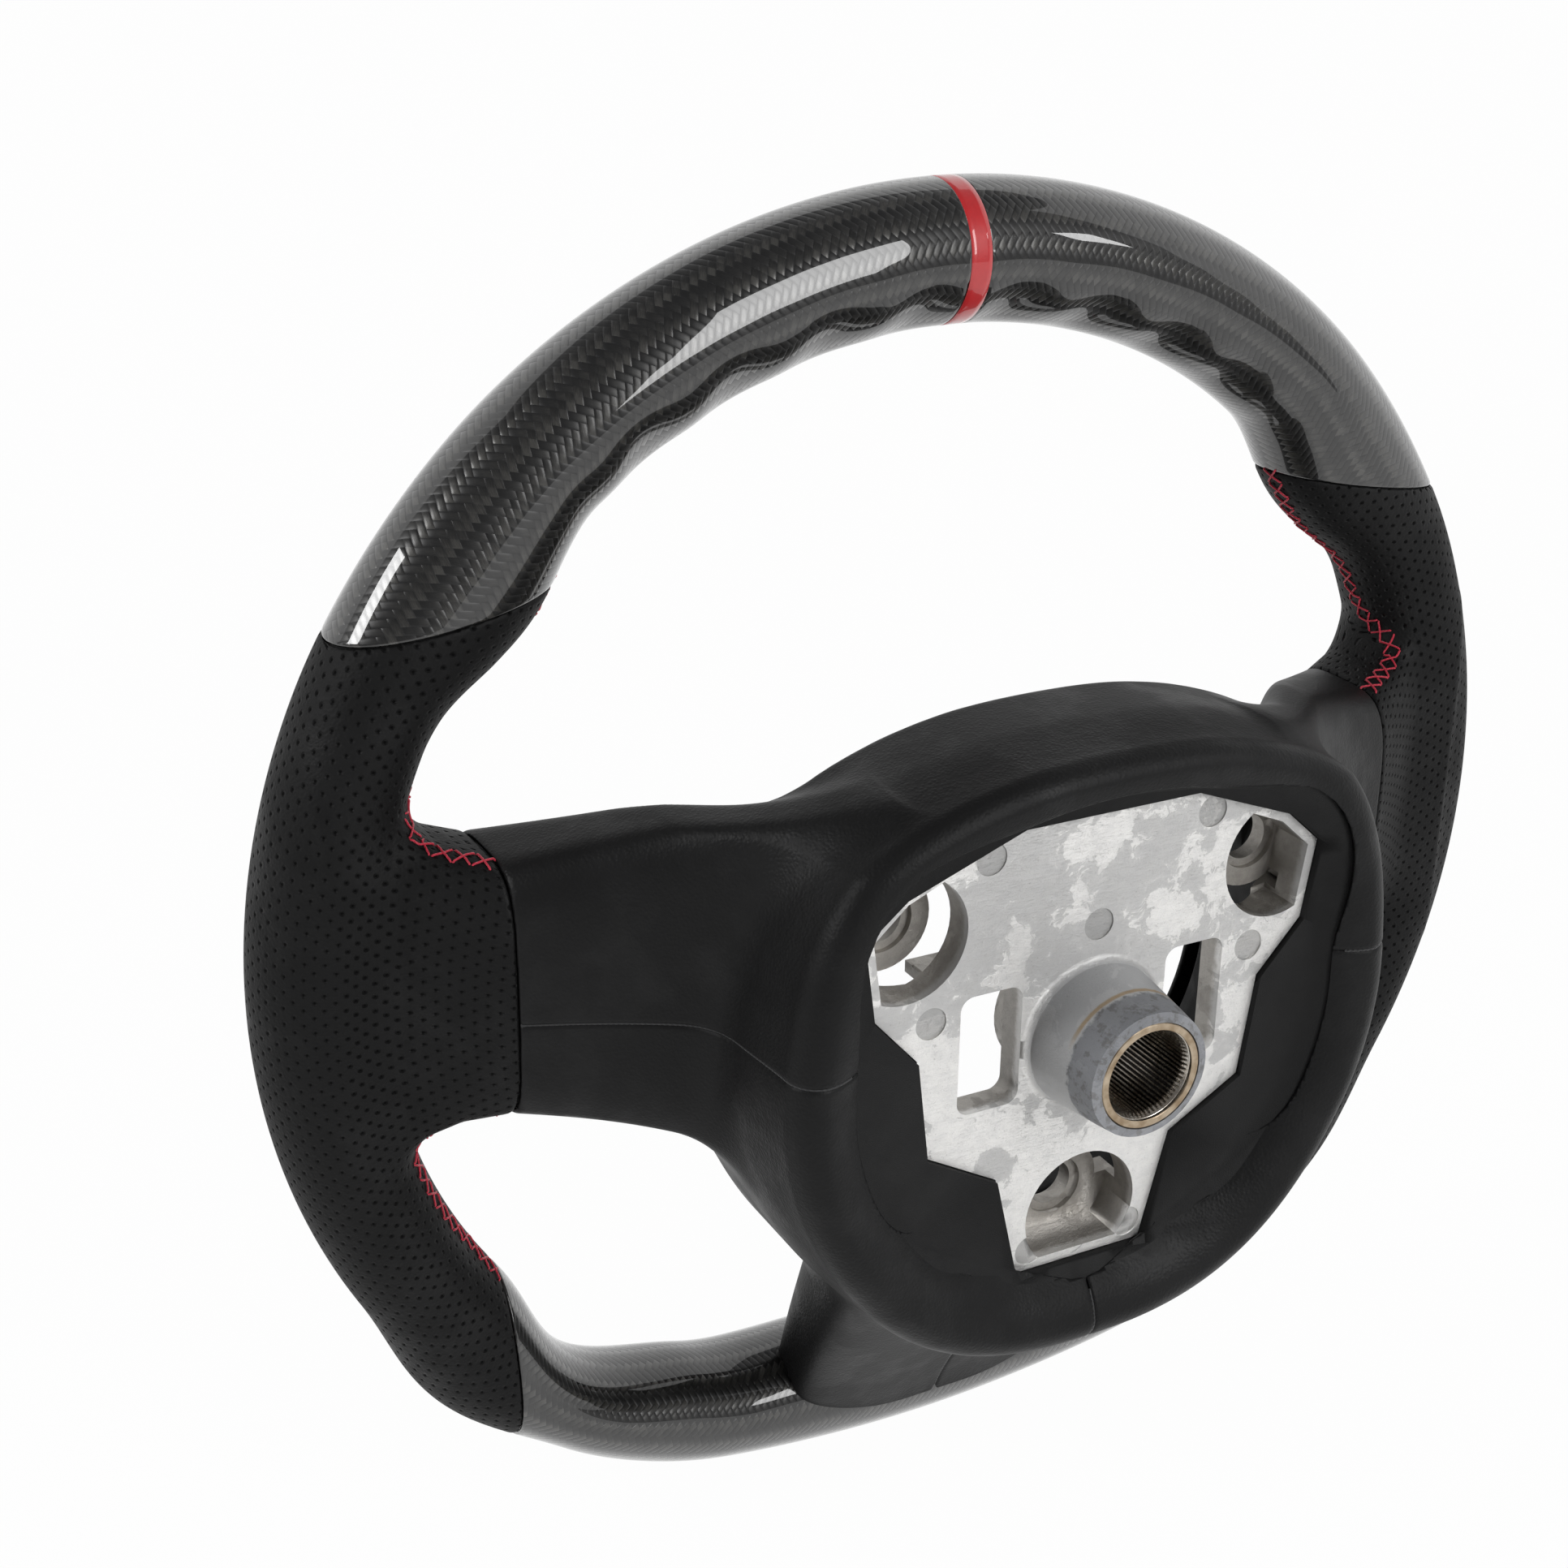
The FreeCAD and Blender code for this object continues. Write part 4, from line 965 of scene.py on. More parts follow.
def joined_tubes(name, tubes, place=np.asarray):
    """One mesh from several closed tubes, facing outwards; place turns its points to other units."""
    vertices, faces, start = [], [], 0
    for points in tubes:
        more, ring_faces = closed_grid(points)
        faces += [[k + start for k in face] for face in ring_faces]
        vertices.append(more)
        start += len(more)
    mesh = bpy.data.meshes.new(name)
    mesh.from_pydata(place(np.concatenate(vertices)).tolist(), [], faces)
    turn_outwards(mesh)
    return mesh


def evaluated(thing):
    """A new mesh of an object with its modifiers applied."""
    seen = thing.evaluated_get(bpy.context.evaluated_depsgraph_get())
    return bpy.data.meshes.new_from_object(seen)


def voxel_union(tubes, size):
    """One rough mesh round several overlapping closed shapes."""
    mesh = joined_tubes("rough", tubes)
    rough = placed("rough", mesh)
    remesh = rough.modifiers.new("remesh", "REMESH")
    remesh.mode = "VOXEL"
    remesh.voxel_size = size
    remesh.adaptivity = 0.0
    done = evaluated(rough)
    bpy.data.objects.remove(rough)
    bpy.data.meshes.remove(mesh)
    return done


def vertex_array(mesh):
    """Vertices of a mesh as an array."""
    flat = np.zeros(len(mesh.vertices) * 3)
    mesh.vertices.foreach_get("co", flat)
    return flat.reshape(-1, 3)


def set_vertices(mesh, points):
    """Write the vertices of a mesh."""
    mesh.vertices.foreach_set("co", np.asarray(points, float).ravel())
    mesh.update()


def field_mesh(field, tubes, size):
    """Voxel mesh projected onto a field, smoothed, split once and projected again."""
    mesh = voxel_union(tubes, size)
    set_vertices(mesh, onto(field, vertex_array(mesh), 8))
    bm = opened(mesh)
    for _ in range(2):
        bmesh.ops.smooth_vert(bm, verts=bm.verts, factor=0.5, use_axis_x=True, use_axis_y=True,
                              use_axis_z=True)
    bmesh.ops.subdivide_edges(bm, edges=bm.edges, cuts=1, use_grid_fill=True)
    written(bm, mesh)
    set_vertices(mesh, onto(field, vertex_array(mesh), 6))
    return mesh


def slice_mesh(mesh, point, normal, drop=False):
    """Cut every face along a plane, and drop what lies on the side the normal points to."""
    bm = opened(mesh)
    bmesh.ops.bisect_plane(bm, geom=bm.verts[:] + bm.edges[:] + bm.faces[:], dist=1e-5,
                           plane_co=point, plane_no=normal, clear_outer=drop)
    written(bm, mesh)


# %% [markdown]
# ## Grips
#
# Each grip is the rim's tube between the two joints, with a stub that grows out of its inner
# side and ends flat at the joint with the spoke. The stub's section is a rounded rectangle
# that widens into the tube.

# %% Grip field
STUB_END = 128.1
JOINT_FRONT, JOINT_REAR, JOINT_LOW, JOINT_HIGH = -8.0, 33.0, -19.5, 47.0
STUB_ROOT = float(rim_radii(np.array(90.0))[0])
STUB_LOW, STUB_HIGH = -60.0, 72.0
LIP_STEPS = (2.6, 1.6, 0.9, 0.4, 0.0)
FAR = 99.0


def tube_field(points):
    """Near-distance to the rim's elliptical tube."""
    across, up = points[:, 0], points[:, 2] - RIM_LIFT
    angle = np.degrees(np.arctan2(across, up))
    inner, outer = rim_radii(angle)
    return superellipse(np.hypot(across, up) - (inner + outer) / 2, points[:, 1], (outer - inner) / 2,
                        TUBE, 2.0)


def stub_section(reach):
    """Middle depth, middle height and half sizes of the stub at a distance from the column axis."""
    share = (reach - STUB_END) / (STUB_ROOT - STUB_END)
    spread = np.interp(share, [-0.5, 0.0, 0.45, 1.0, 1.5], [-0.5, 0.0, 2.5, 9.0, 13.0])
    places = [-0.5, 0.0, 1.0, 1.5]
    rear = np.interp(share, places, [JOINT_REAR + 3, JOINT_REAR, TUBE + 1, TUBE - 2])
    front = np.interp(share, places, [JOINT_FRONT - 3, JOINT_FRONT, 1 - TUBE, 2 - TUBE])
    upper, lower = JOINT_HIGH + spread, JOINT_LOW - 1.2 * spread
    return (front + rear) / 2, (lower + upper) / 2, (rear - front) / 2, (upper - lower) / 2


def stub_field(points):
    """Near-distance to the stub, closed off inside the tube."""
    depth, height, half_depth, half_height = stub_section(points[:, 0])
    section = superellipse(points[:, 1] - depth, points[:, 2] - height, half_depth, half_height, 4.0)
    return np.maximum(section, points[:, 0] - 162.0)


def grip_field(points):
    """Tube and stub with a soft valley between them; both sides of the wheel are alike."""
    points = np.array(points, float)
    points[:, 0] = np.abs(points[:, 0])
    return smooth_min(tube_field(points), stub_field(points), 9.0)


def squared(turn, power=0.5):
    """Cosine and sine drawn towards the corners of a square: sign x |value| ^ power."""
    return [np.sign(part) * np.abs(part) ** power for part in (np.cos(turn), np.sin(turn))]


def rounded_ring(depth, height, half_depth, half_height, reach, sides=48):
    """Points of one stub section."""
    a, b = squared(2 * np.pi * np.arange(sides) / sides)
    return np.stack([np.full(sides, reach), depth + half_depth * a, height + half_height * b], -1)


def grip_mesh():
    """The +X grip's outer skin, cut at its three joints with rounded lips."""
    angle = np.linspace(48.0, 146.0, 80)[:, None]
    around = (np.arange(56) * (360.0 / 56))[None, :]
    tube = rim_points(*np.broadcast_arrays(angle, around))
    stub = np.stack([rounded_ring(*stub_section(np.array(reach)), reach)
                     for reach in np.linspace(120.0, 158.0, 12)])
    mesh = field_mesh(grip_field, [tube, stub], 2.0)
    inwards = np.array([-1.0, 0, 0])
    local_cut(mesh, UPPER_POINT - HALF_GAP * UPPER_NORMAL, UPPER_NORMAL, 40.0, 250.0)
    local_cut(mesh, np.array([LOWER_REACH + HALF_GAP, 0, 0]), inwards, -250.0, STUB_LOW)
    local_cut(mesh, np.array([STUB_END, 0, 0]), inwards, STUB_LOW, STUB_HIGH)
    points = vertex_array(mesh)
    low_side = points[:, 2] < STUB_LOW
    by_stub = (points[:, 2] > STUB_LOW) & (points[:, 2] < STUB_HIGH)
    away = [-above_upper(points), np.where(low_side, points[:, 0] - LOWER_REACH, FAR),
            np.where(by_stub, points[:, 0] - STUB_END, FAR)]
    sink = rolled(np.maximum(np.minimum.reduce(away), 0.0), 1.5) * 0.55
    set_vertices(mesh, points - normals_of(grip_field, points) * sink[:, None])
    return mesh


def local_cut(mesh, point, normal, low, high):
    """Cut at a plane, with a few slices behind it for the lip, only between two heights."""
    bm = opened(mesh)
    for back in LIP_STEPS:
        near = [face for face in bm.faces if low < face.calc_center_median().z < high]
        geometry = set(near)
        for face in near:
            geometry.update(face.edges)
            geometry.update(face.verts)
        bmesh.ops.bisect_plane(bm, geom=list(geometry), dist=1e-5, plane_co=point - back * normal,
                               plane_no=normal, clear_outer=(back == 0.0))
    written(bm, mesh)


def grip_map(mesh):
    """UV in millimetres: length along the rim, and length round it from the outermost line."""
    points = vertex_array(mesh)
    across, up = np.abs(points[:, 0]), points[:, 2] - RIM_LIFT
    angle = np.arctan2(across, up)
    inner, outer = rim_radii(np.degrees(angle))
    half = (outer - inner) / 2
    a = np.clip((np.hypot(across, up) - (inner + outer) / 2) / half, -9.0, 1.0)
    on_tube = TUBE * np.arccos(np.clip(a, -1.0, 1.0))
    straight = TUBE * (np.arccos(-0.4) + (-0.4 - a) * half / TUBE)
    near_stub = 1 - ramp(stub_field(np.stack([across, points[:, 1], points[:, 2]], -1)), 0.0, 7.0)
    length = np.where(a < -0.4, on_tube + (straight - on_tube) * near_stub, on_tube)
    depth, height, half_depth, half_height = stub_section(across)
    b = (points[:, 2] - height) / half_height
    past_corner = np.maximum(0.84 * half_depth - np.abs(points[:, 1] - depth), 0.0)
    over = near_stub * past_corner * (np.abs(b) > np.abs(points[:, 1] - depth) / half_depth)
    over *= (a < -0.4) * -np.sign(b)
    corner = corners_of(mesh)
    total = np.zeros(len(mesh.polygons), int)
    mesh.polygons.foreach_get("loop_total", total)
    owner = np.repeat(np.arange(len(mesh.polygons)), total)
    side = np.bincount(owner, points[corner, 1]) / total
    write_map(mesh, angle[corner] * RING + over[corner],
              length[corner] * np.where(side[owner] >= 0, 1.0, -1.0))


def mirrored_mesh(mesh, name):
    """The same mesh on the other side of the wheel, with its faces turned back outwards."""
    other = mesh.copy()
    other.name = name
    bm = opened(other)
    for vertex in bm.verts:
        vertex.co.x = -vertex.co.x
    bmesh.ops.reverse_faces(bm, faces=bm.faces)
    written(bm, other)
    return other


GRIP_LEATHER, COVER_LEATHER = 1.3, 1.2


def thicken(thing, thickness):
    """Give an open skin its thickness inwards."""
    wall = thing.modifiers.new("thickness", "SOLIDIFY")
    wall.thickness = thickness / 1000.0
    wall.offset = -1.0
    wall.use_even_offset = False
    return thing


right_skin = grip_mesh()
grip_map(right_skin)
set_vertices(right_skin, to_metres(vertex_array(right_skin)))
for side, mesh in (("right", right_skin), ("left", mirrored_mesh(right_skin, "left_grip"))):
    grip = thicken(add_object(side + "_grip", mesh, finish["perforated_leather"]), GRIP_LEATHER)
    finished(grip, side + "_grip_leather")
    print(grip.name, len(mesh.polygons), "faces")

# %% [markdown]
# ## Sewing threads
#
# The grips are closed by a crossed stitch: two threads that zigzag between the leather's two
# edges and make a row of diamonds. Each path is listed roughly, moved onto the grip's field,
# and then each thread is a thin round tube that dips into its needle holes.

# %% Thread helpers
THREAD_RADIUS, NEEDLE_DIP = 0.29, 0.75
CORD_RADIUS, CORD_DEPTH = 0.45, 0.75


def run_of(points):
    """Length along a polyline at each of its points."""
    return np.concatenate([[0.0], np.cumsum(np.linalg.norm(np.diff(points, axis=0), axis=1))])


def even(points, count):
    """A polyline resampled to evenly spaced points, and its length."""
    steps = run_of(points)
    places = np.linspace(0.0, steps[-1], count)
    return np.stack([np.interp(places, steps, points[:, k]) for k in range(3)], -1), steps[-1]


def unit(vectors):
    """Vectors of length 1."""
    return vectors / np.linalg.norm(vectors, axis=1, keepdims=True)


def tube_points(path, normal, radius, sides=6):
    """Rings round a path, squared up to a given normal at each point."""
    along = unit(np.gradient(path, axis=0))
    side = unit(np.cross(along, normal))
    up = np.cross(side, along)
    turn = (2 * np.pi * np.arange(sides) / sides)[None, :, None]
    spread = np.cos(turn) * side[:, None, :] + np.sin(turn) * up[:, None, :]
    return path[:, None, :] + radius * spread


def tubes_object(name, tubes, material):
    """One object from several closed tubes, with its UV map running along and round them."""
    mesh = joined_tubes(name, tubes, to_metres)
    along = [np.repeat(run_of(points.mean(1)), points.shape[1]) for points in tubes]
    turns = [np.tile(np.arange(points.shape[1]) / points.shape[1], len(points)) for points in tubes]
    corner = corners_of(mesh)
    write_map(mesh, np.concatenate(along)[corner], np.concatenate(turns)[corner])
    return add_object(name, mesh, material)


def cross_stitch(guide, pitch=4.7, half_width=2.4):
    """Two crossing zigzag threads along a guide line on the grip."""
    path, length = even(onto(grip_field, even(np.array(guide, float), 200)[0], 8), 600)
    rounds = max(int(round(length / (2 * pitch))), 2)
    normal = normals_of(grip_field, path)
    side = np.cross(normal, unit(np.gradient(path, axis=0)))
    phase = np.linspace(0.0, 2 * np.pi * rounds, len(path))
    tubes = []
    for lead, lift in ((0.0, 0.16), (np.pi, 0.34)):
        swing = np.arcsin(0.985 * np.sin(phase + np.pi / 2 + lead)) / 1.4
        place = onto(grip_field, path + side * (half_width * swing)[:, None], 4)
        out = normals_of(grip_field, place)
        dip = NEEDLE_DIP * np.clip(np.abs(swing) - 0.86, 0.0, 1.0) / 0.14
        place = place + out * (lift - dip)[:, None]
        tubes.append(tube_points(place, out, THREAD_RADIUS))
    return tubes


def flipped(tubes):
    """The same tubes on the other side of the wheel."""
    return [points * (-1.0, 1.0, 1.0) for points in tubes]


# %% Red stitches
upper_guide = [(104.0, 2.0, 107.5), (108.0, 2.5, 101.0), (117.0, 0.5, 91.0), (126.0, -0.5, 83.0),
               (133.0, 0.0, 76.0), (139.5, 0.5, 66.0), (143.5, 4.0, 59.5), (145.3, 10.0, 55.5),
               (143.8, 14.5, 51.5), (139.5, 17.0, 49.3), (134.0, 19.3, 48.0), (128.8, 22.6, 46.7)]
lower_guide = [(128.8, 21.0, -19.5), (134.0, 16.5, -24.5), (140.5, 12.5, -31.0), (143.5, 10.0, -39.0),
               (142.7, 8.6, -47.0), (137.3, 7.1, -57.8), (132.4, 5.2, -65.6), (128.6, 5.2, -72.5),
               (125.8, 5.2, -77.5)]
for name, guide in (("upper", upper_guide), ("lower", lower_guide)):
    stitches = cross_stitch(guide)
    for side, tubes in (("right", stitches), ("left", flipped(stitches))):
        thread = tubes_object("%s_%s_stitches" % (side, name), tubes, finish["contrast_thread"])
        finished(thread, "%s_%s_seam_thread" % (side, name))
        print(thread.name, len(thread.data.polygons), "faces")

# %% [markdown]
# ## The leather cover of the hub and its spokes
#
# The hub is a round bowl whose outline has two shoulders and a chin, with a collar that
# rolls over into the recess. Two side spokes slope forward to the grips, and the lower spoke
# ends in a tongue that lies on the rim. All four are joined by soft valleys. The openings
# are then cut with crisp edges, and the skin left between them is parted into three panels
# along the seams. Last, the crown is settled a little, because the leather and the foam
# under it lie lower over the top of the plate than a plain round bowl would.

# %% Cover field
CREST, FRONT = 91.0, 34.0
SEAM = 9.0
SPOKE_OUT, SPOKE_IN = 128.0, 56.0
FRONT_RISE, REAR_RISE = 54.0, 45.0
FOOT_OUT, FOOT_IN = 152.5, 60.5
HUB_SHAPE = (80.0, 4.2, 2.4, 3.0)


def hub_outline(points_angle, radius, shoulder, chin, flat):
    """Outline radius: radius + shoulder x lobes + chin x corners - flat x top."""
    lobes = bump(points_angle, 38, 33) + bump(points_angle, 142, 33)
    corners = bump(points_angle, 240, 35) + bump(points_angle, 300, 35)
    return radius + shoulder * lobes + chin * corners - flat * bump(points_angle, 90, 30)


def bowl_field(points):
    """The hub: a flared flank, a rounded collar that dishes inwards, and a flat front."""
    angle = np.degrees(np.arctan2(points[:, 2], points[:, 0])) % 360.0
    out = np.hypot(points[:, 0], points[:, 2]) - hub_outline(angle, *HUB_SHAPE)
    deep = points[:, 1]
    flank = out - 5.0 - 2.2 * (1 - ramp(deep, 58.0, 86.0))
    crest = deep - CREST + 0.036 * np.minimum(out + 1.0, 0.0) ** 2
    corner = 8.0
    a, b = flank + corner, crest + corner
    beyond = np.hypot(np.maximum(a, 0.0), np.maximum(b, 0.0))
    rear = np.minimum(np.maximum(a, b), 0.0) + beyond - corner
    return smooth_max(rear, FRONT - deep, 3.0)


def spoke_section(reach):
    """Middle depth, middle height and half sizes of a side spoke."""
    share = np.clip((SPOKE_OUT - reach) / (SPOKE_OUT - SPOKE_IN), -0.2, 1.0)
    sag = 5.0 * np.sin(np.pi * np.clip(share, 0.0, 1.0))
    front = JOINT_FRONT + FRONT_RISE * share
    rear = JOINT_REAR + REAR_RISE * share - sag
    upper = JOINT_HIGH + 23.0 * share - 0.3 * sag
    lower = JOINT_LOW - 16.5 * share + 0.6 * sag
    return (front + rear) / 2, (lower + upper) / 2, (rear - front) / 2, (upper - lower) / 2


def spoke_field(points):
    """Near-distance to a side spoke; it ends inside the hub."""
    reach = np.abs(points[:, 0])
    depth, height, half_depth, half_height = spoke_section(reach)
    section = superellipse(points[:, 1] - depth, points[:, 2] - height, half_depth, half_height, 4.0)
    lean = 1.0 / math.hypot(1.0, REAR_RISE / (SPOKE_OUT - SPOKE_IN))
    return np.maximum(section * (lean + (1 - lean) * 0.3), SPOKE_IN - reach)


def foot_section(down):
    """Middle depth and half sizes of the lower spoke, from its tongue up into the hub."""
    share = np.clip((FOOT_OUT - down) / (FOOT_OUT - FOOT_IN), -0.1, 1.0)
    half = 44.0 * (1 + 0.22 * share ** 2 - 0.52 * (1 - ramp(share, -0.12, 0.2)))
    rear = 16.0 + 64.4 * np.maximum(share, 0.0) ** 1.3
    thick = 22.0 + 28.0 * share
    return rear - thick / 2, half, thick / 2


def foot_field(points):
    """Near-distance to the lower spoke."""
    down = -points[:, 2]
    depth, half, half_depth = foot_section(down)
    section = superellipse(points[:, 0], points[:, 1] - depth, half, half_depth, 4.0) * 0.85
    return smooth_max(smooth_max(section, down - FOOT_OUT, 3.0), FOOT_IN - down, 3.0)


def cover_field(points):
    """The whole cover, with soft valleys where the spokes leave the bowl."""
    hub = smooth_min(bowl_field(points), spoke_field(points), 9.0)
    return smooth_min(hub, foot_field(points), 10.0)


def crowned(points):
    """Settle the hub's crown: heights over 57 mm shrink to 0.70, depths under the crest to 0.78."""
    start, height_loss, depth_loss = 57.0, 0.30, 0.22
    settled = points.copy()
    settled[:, 2] -= height_loss * np.maximum(points[:, 2] - start, 0.0)
    share = ramp(points[:, 2], 30.0, 62.0) * (1 - ramp(np.abs(points[:, 0]), 60.0, 100.0))
    settled[:, 1] += depth_loss * share * np.maximum(CREST - points[:, 1], 0.0)
    return settled


def outline_ring(shape, depth, sides=96):
    """Points of one round outline at a depth."""
    angle = 360.0 * np.arange(sides) / sides
    reach = hub_outline(angle, *shape)
    turn = np.radians(angle)
    return np.stack([reach * np.cos(turn), np.full(sides, depth), reach * np.sin(turn)], -1)


def foot_ring(down, sides=48):
    """Points of one section of the lower spoke."""
    depth, half, half_depth = foot_section(np.array(down))
    a, b = squared(2 * np.pi * np.arange(sides) / sides)
    return np.stack([half * a, depth + half_depth * b, np.full(sides, -down)], -1)


bowl = np.stack([outline_ring((HUB_SHAPE[0] + grow,) + HUB_SHAPE[1:], depth)
                 for depth, grow in ((FRONT, 6.0), (64.0, 6.0), (84.0, 5.0), (90.0, 0.0))])
spoke = np.stack([rounded_ring(*spoke_section(np.array(reach)), reach)
                  for reach in np.linspace(57.0, 134.0, 20)])
foot_tube = np.stack([foot_ring(down) for down in np.linspace(152.0, 61.0, 24)])
cover = field_mesh(cover_field, [bowl, spoke] + flipped([spoke]) + [foot_tube], 2.0)
print("cover before cutting:", len(cover.polygons), "faces")

# %% [markdown]
# The openings are closed shapes: the recess at the rear, the airbag cavity and the two
# switch pockets at the front. After a Boolean cut, faces that do not lie on the field are
# the walls of an opening, so they are removed and a clean open skin is left.

# %% Openings, panels and seams
RECESS = (9.5, -2.4, 1.0)
RECESS_MOUTH, RECESS_REST, RECESS_TOP = 65.5, 65.7, 72.5
PANEL_END = 127.9
TOLERANCE = 0.15


def pocket_rings(side):
    """The switch pocket: a rounded box sunk into the front of a side spoke."""
    lean = -math.atan2(FRONT_RISE, SPOKE_OUT - SPOKE_IN)
    middle, half_length, half_height = (92.0, 19.0, 14.0), 34.0, 18.0
    a, b = squared(2 * np.pi * (np.arange(48) + 0.5) / 48, 0.25)
    rings = []
    for deep in (-60.0, 8.0):
        x = middle[0] + a * half_length * math.cos(lean) - deep * math.sin(lean)
        y = middle[1] + a * half_length * math.sin(lean) + deep * math.cos(lean)
        rings.append(np.stack([side * x, y, middle[2] + b * half_height], -1))
    return np.stack(rings)


recess = np.stack([outline_ring((radius,) + RECESS, depth)
                   for radius, depth in ((RECESS_MOUTH, 82.5), (RECESS_TOP, 94.0))])
cavity = np.stack([outline_ring((64.5, 8.0, 0.0, 0.0), depth) for depth in (-60.0, 72.0)])
openings = [recess, cavity, pocket_rings(1), pocket_rings(-1)]
cutter = placed("openings", joined_tubes("openings", openings))
body = placed("cover_body", cover)
cutting = body.modifiers.new("cut", "BOOLEAN")
cutting.operation = "DIFFERENCE"
cutting.object = cutter
cutting.solver = "MANIFOLD"
skin = evaluated(body)
for thing in (cutter, body):
    bpy.data.objects.remove(thing)
print("cover after cutting:", len(skin.polygons), "faces")

bm = opened(skin)
on_skin = np.abs(cover_field(np.array([vertex.co[:] for vertex in bm.verts]))) < TOLERANCE
centres = np.array([face.calc_center_median()[:] for face in bm.faces])
facing = np.array([face.normal[:] for face in bm.faces])
faces_out = (normals_of(cover_field, centres) * facing).sum(1) > 0.6
around = np.degrees(np.arctan2(centres[:, 2], centres[:, 0])) % 360.0
in_recess = np.hypot(centres[:, 0], centres[:, 2]) < hub_outline(around, RECESS_REST, *RECESS)
in_recess &= centres[:, 1] > 60.0
bm.verts.index_update()
walls = [face for face, out, inside in zip(bm.faces, faces_out, in_recess)
         if inside or not out or not all(on_skin[vertex.index] for vertex in face.verts)]
bmesh.ops.delete(bm, geom=walls, context="FACES")
written(bm, skin)

ACROSS, UP = Vector((1, 0, 0)), Vector((0, 0, 1))
for back in (0.3, 0.7, 1.3, 2.2):
    for sign in (1.0, -1.0):
        slice_mesh(skin, (0, 0, SEAM + sign * back), UP)
        slice_mesh(skin, (sign * back, 0, 0), ACROSS)
for back in LIP_STEPS:
    for sign in (1.0, -1.0):
        slice_mesh(skin, (sign * (PANEL_END - back), 0, 0), ACROSS * sign, drop=(back == 0.0))
points = vertex_array(skin)
reach = np.abs(points[:, 0])
to_foot_seam = np.where((points[:, 2] < -60.0) & (points[:, 1] > 12.0), reach, FAR)
to_side_seam = np.where(reach > 60.0, np.abs(points[:, 2] - SEAM), FAR)
sink = 0.6 * rolled(np.minimum(to_foot_seam, to_side_seam), 1.4)
sink += 0.5 * rolled(PANEL_END - reach, 1.6)
set_vertices(skin, crowned(points - normals_of(cover_field, points) * sink[:, None]))

EDGE = 0.05
above, below = ((0, 0, SEAM + EDGE), -UP), ((0, 0, SEAM - EDGE), UP)
panels = {"upper": (above,), "lower_right": (below, ((EDGE, 0, 0), -ACROSS)),
          "lower_left": (below, ((-EDGE, 0, 0), ACROSS))}
for name, planes in panels.items():
    part = skin.copy()
    part.name = "cover_" + name
    for plane in planes:
        slice_mesh(part, *plane, drop=True)
    set_vertices(part, to_metres(vertex_array(part)))
    panel = thicken(add_object("cover_" + name, part, finish["smooth_leather"]), COVER_LEATHER)
    finished(panel, name + "_cover_leather")
    print(panel.name, len(part.polygons), "faces")

# %% [markdown]
# A thin black thread closes each seam of the cover, sunk in the groove between the panels.

# %% Cover seams
def sunk_cord(guide, plane):
    """A round cord along a guide that is moved onto the cover within one plane."""
    rough = even(np.array(guide, float), 240)[0]
    path = even(onto(cover_field, rough, 10, -CORD_DEPTH, plane), 400)[0]
    return tube_points(path, normals_of(cover_field, path), CORD_RADIUS, 8)


side_guide = [(reach, depth, SEAM) for reach, depth in
              ((127.6, 33.0), (107.0, 41.0), (92.0, 49.0), (87.0, 60.0), (86.0, 80.0), (83.0, 88.0),
               (78.0, 91.0), (73.0, 89.5), (70.5, 88.0))]
foot_guide = [(0.0, depth, -down) for depth, down in
              ((16.0, 152.0), (26.0, 131.0), (45.0, 102.0), (58.0, 89.0), (75.0, 86.0), (87.0, 83.0),
               (91.0, 78.0), (89.5, 72.0), (88.0, 69.5))]
side_cord = sunk_cord(side_guide, 2)
for name, tubes, node in (("right_cover_cord", [side_cord], "right_cover_seam_cord"),
                          ("left_cover_cord", flipped([side_cord]), "left_cover_seam_cord"),
                          ("foot_cover_cord", [sunk_cord(foot_guide, 0)], "foot_cover_seam_cord")):
    finished(tubes_object(name, tubes, finish["black_thread"]), node)

# %% [markdown]
# ## The casting and the pieces that keep their CAD shape
#
# A copy of the casting's mesh is welded, and its flat areas become single faces, so that the
# edges left are the real ones. The boss is a little stouter than a plain turned cone, with a
# worn lip round the steel insert. The plate's visible rear edges get a small round, as a die
# leaves them, while the shallow ejector marks stay crisp and get a duller finish. Weighted
# normals keep the flats flat beside the rounds. The steel insert is turned again with its 60
# teeth, and a copy of the moulded body settles at the crown with the leather over it. Only
# the hidden foam and ring keep their CAD meshes and just get a finish.

# %% Casting and CAD pieces
TEETH = 60
PLATE_DEPTH, MARK_DEPTH = 81.0, 80.6
FLUSH = 2e-5
PLATE_Y, MARK_Y = [(depth - HUB_DEPTH) / 1000.0 for depth in (PLATE_DEPTH, MARK_DEPTH)]


def welded(node, flat=None):
    """A CAD mesh with its doubled vertices merged and, if asked, its flat areas as single faces."""
    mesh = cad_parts[node].data.copy()
    bm = opened(mesh)
    bmesh.ops.remove_doubles(bm, verts=bm.verts, dist=2e-6)
    bmesh.ops.recalc_face_normals(bm, faces=bm.faces)
    if flat is not None:
        bmesh.ops.dissolve_limit(bm, angle_limit=math.radians(flat), verts=bm.verts, edges=bm.edges)
    written(bm, mesh)
    return mesh


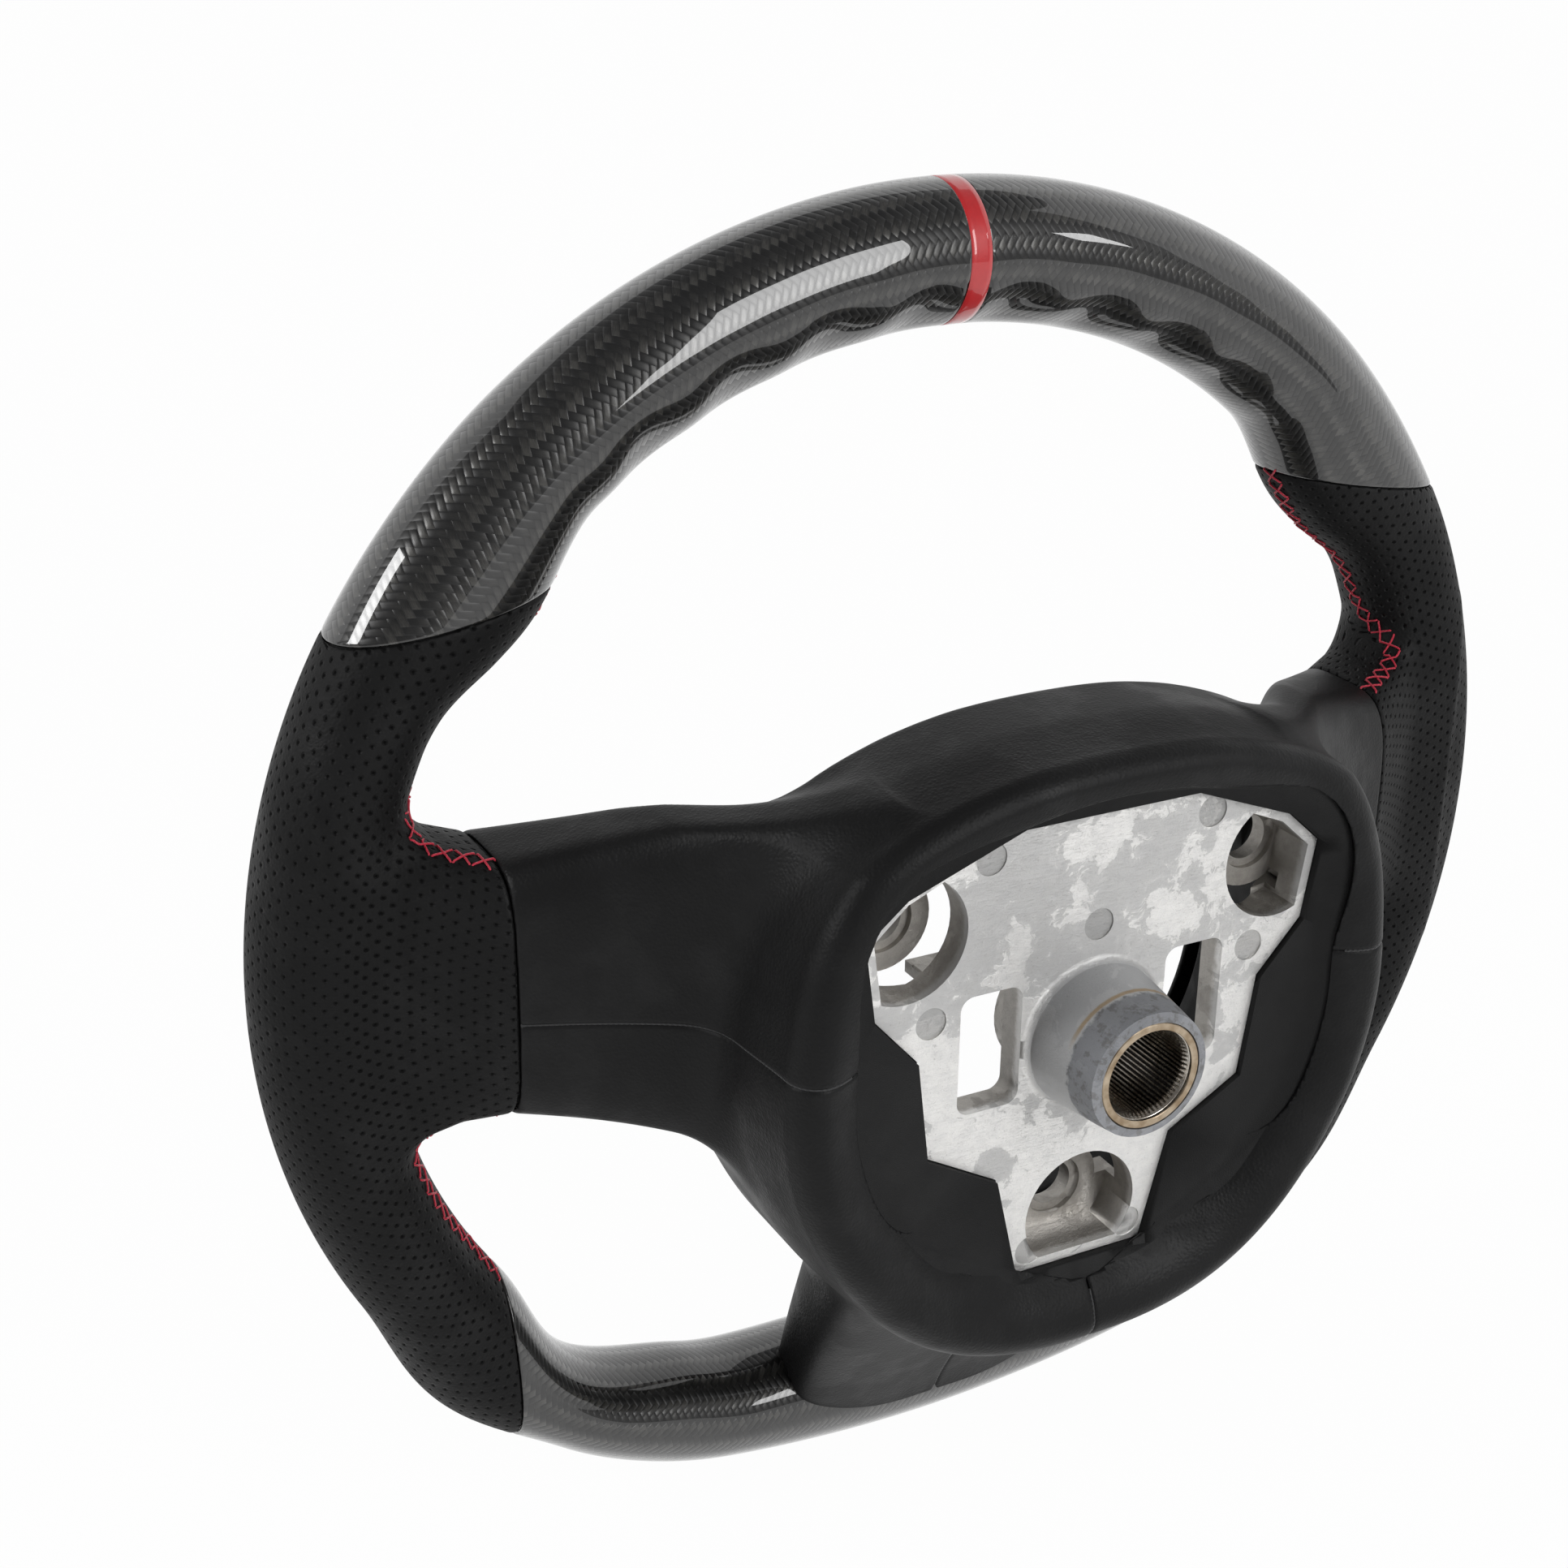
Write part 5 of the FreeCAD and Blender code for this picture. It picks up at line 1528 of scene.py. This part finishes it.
def stout_boss(mesh):
    """Move the boss's outer wall out by up to 1.3 mm, and let its end lip slope."""
    points = vertex_array(mesh) * 1000.0
    depth = points[:, 1]
    radius = np.hypot(points[:, 0], points[:, 2])
    outer = (depth > 1000.0 * PLATE_Y + 0.05) & (radius > 14.2) & (radius < 21.5)
    grown = 1.3 * (1 - ramp(radius, 17.9, 20.5))
    factor = np.where(outer, (radius + grown) / np.maximum(radius, 1.0), 1.0)
    points[:, 0] *= factor
    points[:, 2] *= factor
    points[:, 1] -= np.where(outer & (depth > -0.05), 0.7, 0.0)
    set_vertices(mesh, points / 1000.0)


casting_mesh = welded("armature_casting", 0.5)
casting_mesh.name = "casting"
casting = add_object("casting", casting_mesh, finish["cast_alloy"])
casting_mesh.materials.append(finish["cast_mark"])
stout_boss(casting_mesh)
bm = opened(casting_mesh)
rear_edges = []
for edge in bm.edges:
    flush = all(abs(vertex.co.y - PLATE_Y) < FLUSH for vertex in edge.verts)
    shelf = any(abs(face.calc_center_median().y - MARK_Y) < 1e-4 for vertex in edge.verts
                for face in vertex.link_faces if abs(face.normal.y) > 0.9)
    wall = any(face.calc_center_median().y > PLATE_Y + 1e-4 for face in edge.link_faces)
    if flush and not wall and len(edge.link_faces) == 2 and edge.calc_face_angle() > 0.6:
        marked = any(abs(vertex.co.y - MARK_Y) < FLUSH for face in edge.link_faces
                     for vertex in face.verts if abs(face.normal.y) < 0.5)
        if not marked and not shelf:
            rear_edges.append(edge)
bmesh.ops.bevel(bm, geom=rear_edges, offset=0.0007, offset_type="OFFSET", segments=3, profile=0.5,
                affect="EDGES", clamp_overlap=True)
for face in bm.faces:
    on_mark = abs(face.calc_center_median().y - MARK_Y) < 1e-4 and abs(face.normal.y) > 0.9
    face.smooth, face.material_index = True, int(on_mark)
written(bm, casting_mesh)
casting_mesh.set_sharp_from_angle(angle=math.radians(32))
flats = casting.modifiers.new("flats", "WEIGHTED_NORMAL")
flats.keep_sharp = True
finished(casting, "armature_casting")


def dressed(name, mesh, slot, sharp, node):
    """An object of a turned or welded mesh, smooth except where it bends more than sharp degrees."""
    thing = add_object(name, mesh, finish[slot])
    mesh.set_sharp_from_angle(angle=math.radians(sharp))
    finished(thing, node)
    print(name, len(mesh.polygons), "faces")


def spline_sleeve():
    """The steel insert: a closed profile turned round the axis, with 60 teeth in its bore."""
    turn = np.radians(np.linspace(0.0, 360.0, TEETH * 8, endpoint=False))
    tooth = 11.25 - 0.7 * np.clip(0.5 + 1.6 * np.cos(TEETH * turn), 0.0, 1.0)
    outer, mouth, bore, front = 13.65, 11.7, 6.5, -33.85
    stations = [(outer, -0.3), (outer - 0.3, 0.0), (mouth + 0.2, 0.0), (mouth, -0.2), (mouth, -1.0)]
    stations += [(np.maximum(11.6 - 1.1 * share, tooth), -1.05 - 2.0 * share)
                 for share in (0.0, 0.25, 0.5, 0.75, 1.0)]
    stations += [(tooth, -14.0), (tooth, front + 6.3), (bore + 0.3, front + 6.0), (bore, front + 5.7),
                 (bore, front), (outer, front)]
    rows = [np.stack([radius * np.sin(turn), np.full_like(turn, y), radius * np.cos(turn)], -1)
            for radius, y in stations]
    mesh = grid_mesh("spline_sleeve", np.stack(rows) / 1000.0, wrap_u=True, wrap_v=True)
    turn_outwards(mesh)
    return mesh


dressed("spline_sleeve", spline_sleeve(), "steel", 28, "spline_insert")


def crowned_body():
    """The moulded body with its crown settled as the leather's is."""
    mesh = welded("hub_body")
    set_vertices(mesh, to_metres(crowned(from_metres(vertex_array(mesh)))))
    return mesh


dressed("moulded_body", crowned_body(), "black_moulding", 30, "hub_body")
carried = {"rim_core_ring": "core_alloy", "upper_rim_core": "rim_foam", "lower_rim_core": "rim_foam",
           "right_grip_pad": "rim_foam", "left_grip_pad": "rim_foam"}
for node, name in carried.items():
    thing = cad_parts[node]
    thing.data.materials.clear()
    thing.data.materials.append(finish[name])
print("casting:", len(casting_mesh.polygons), "faces; carried over:", len(carried))
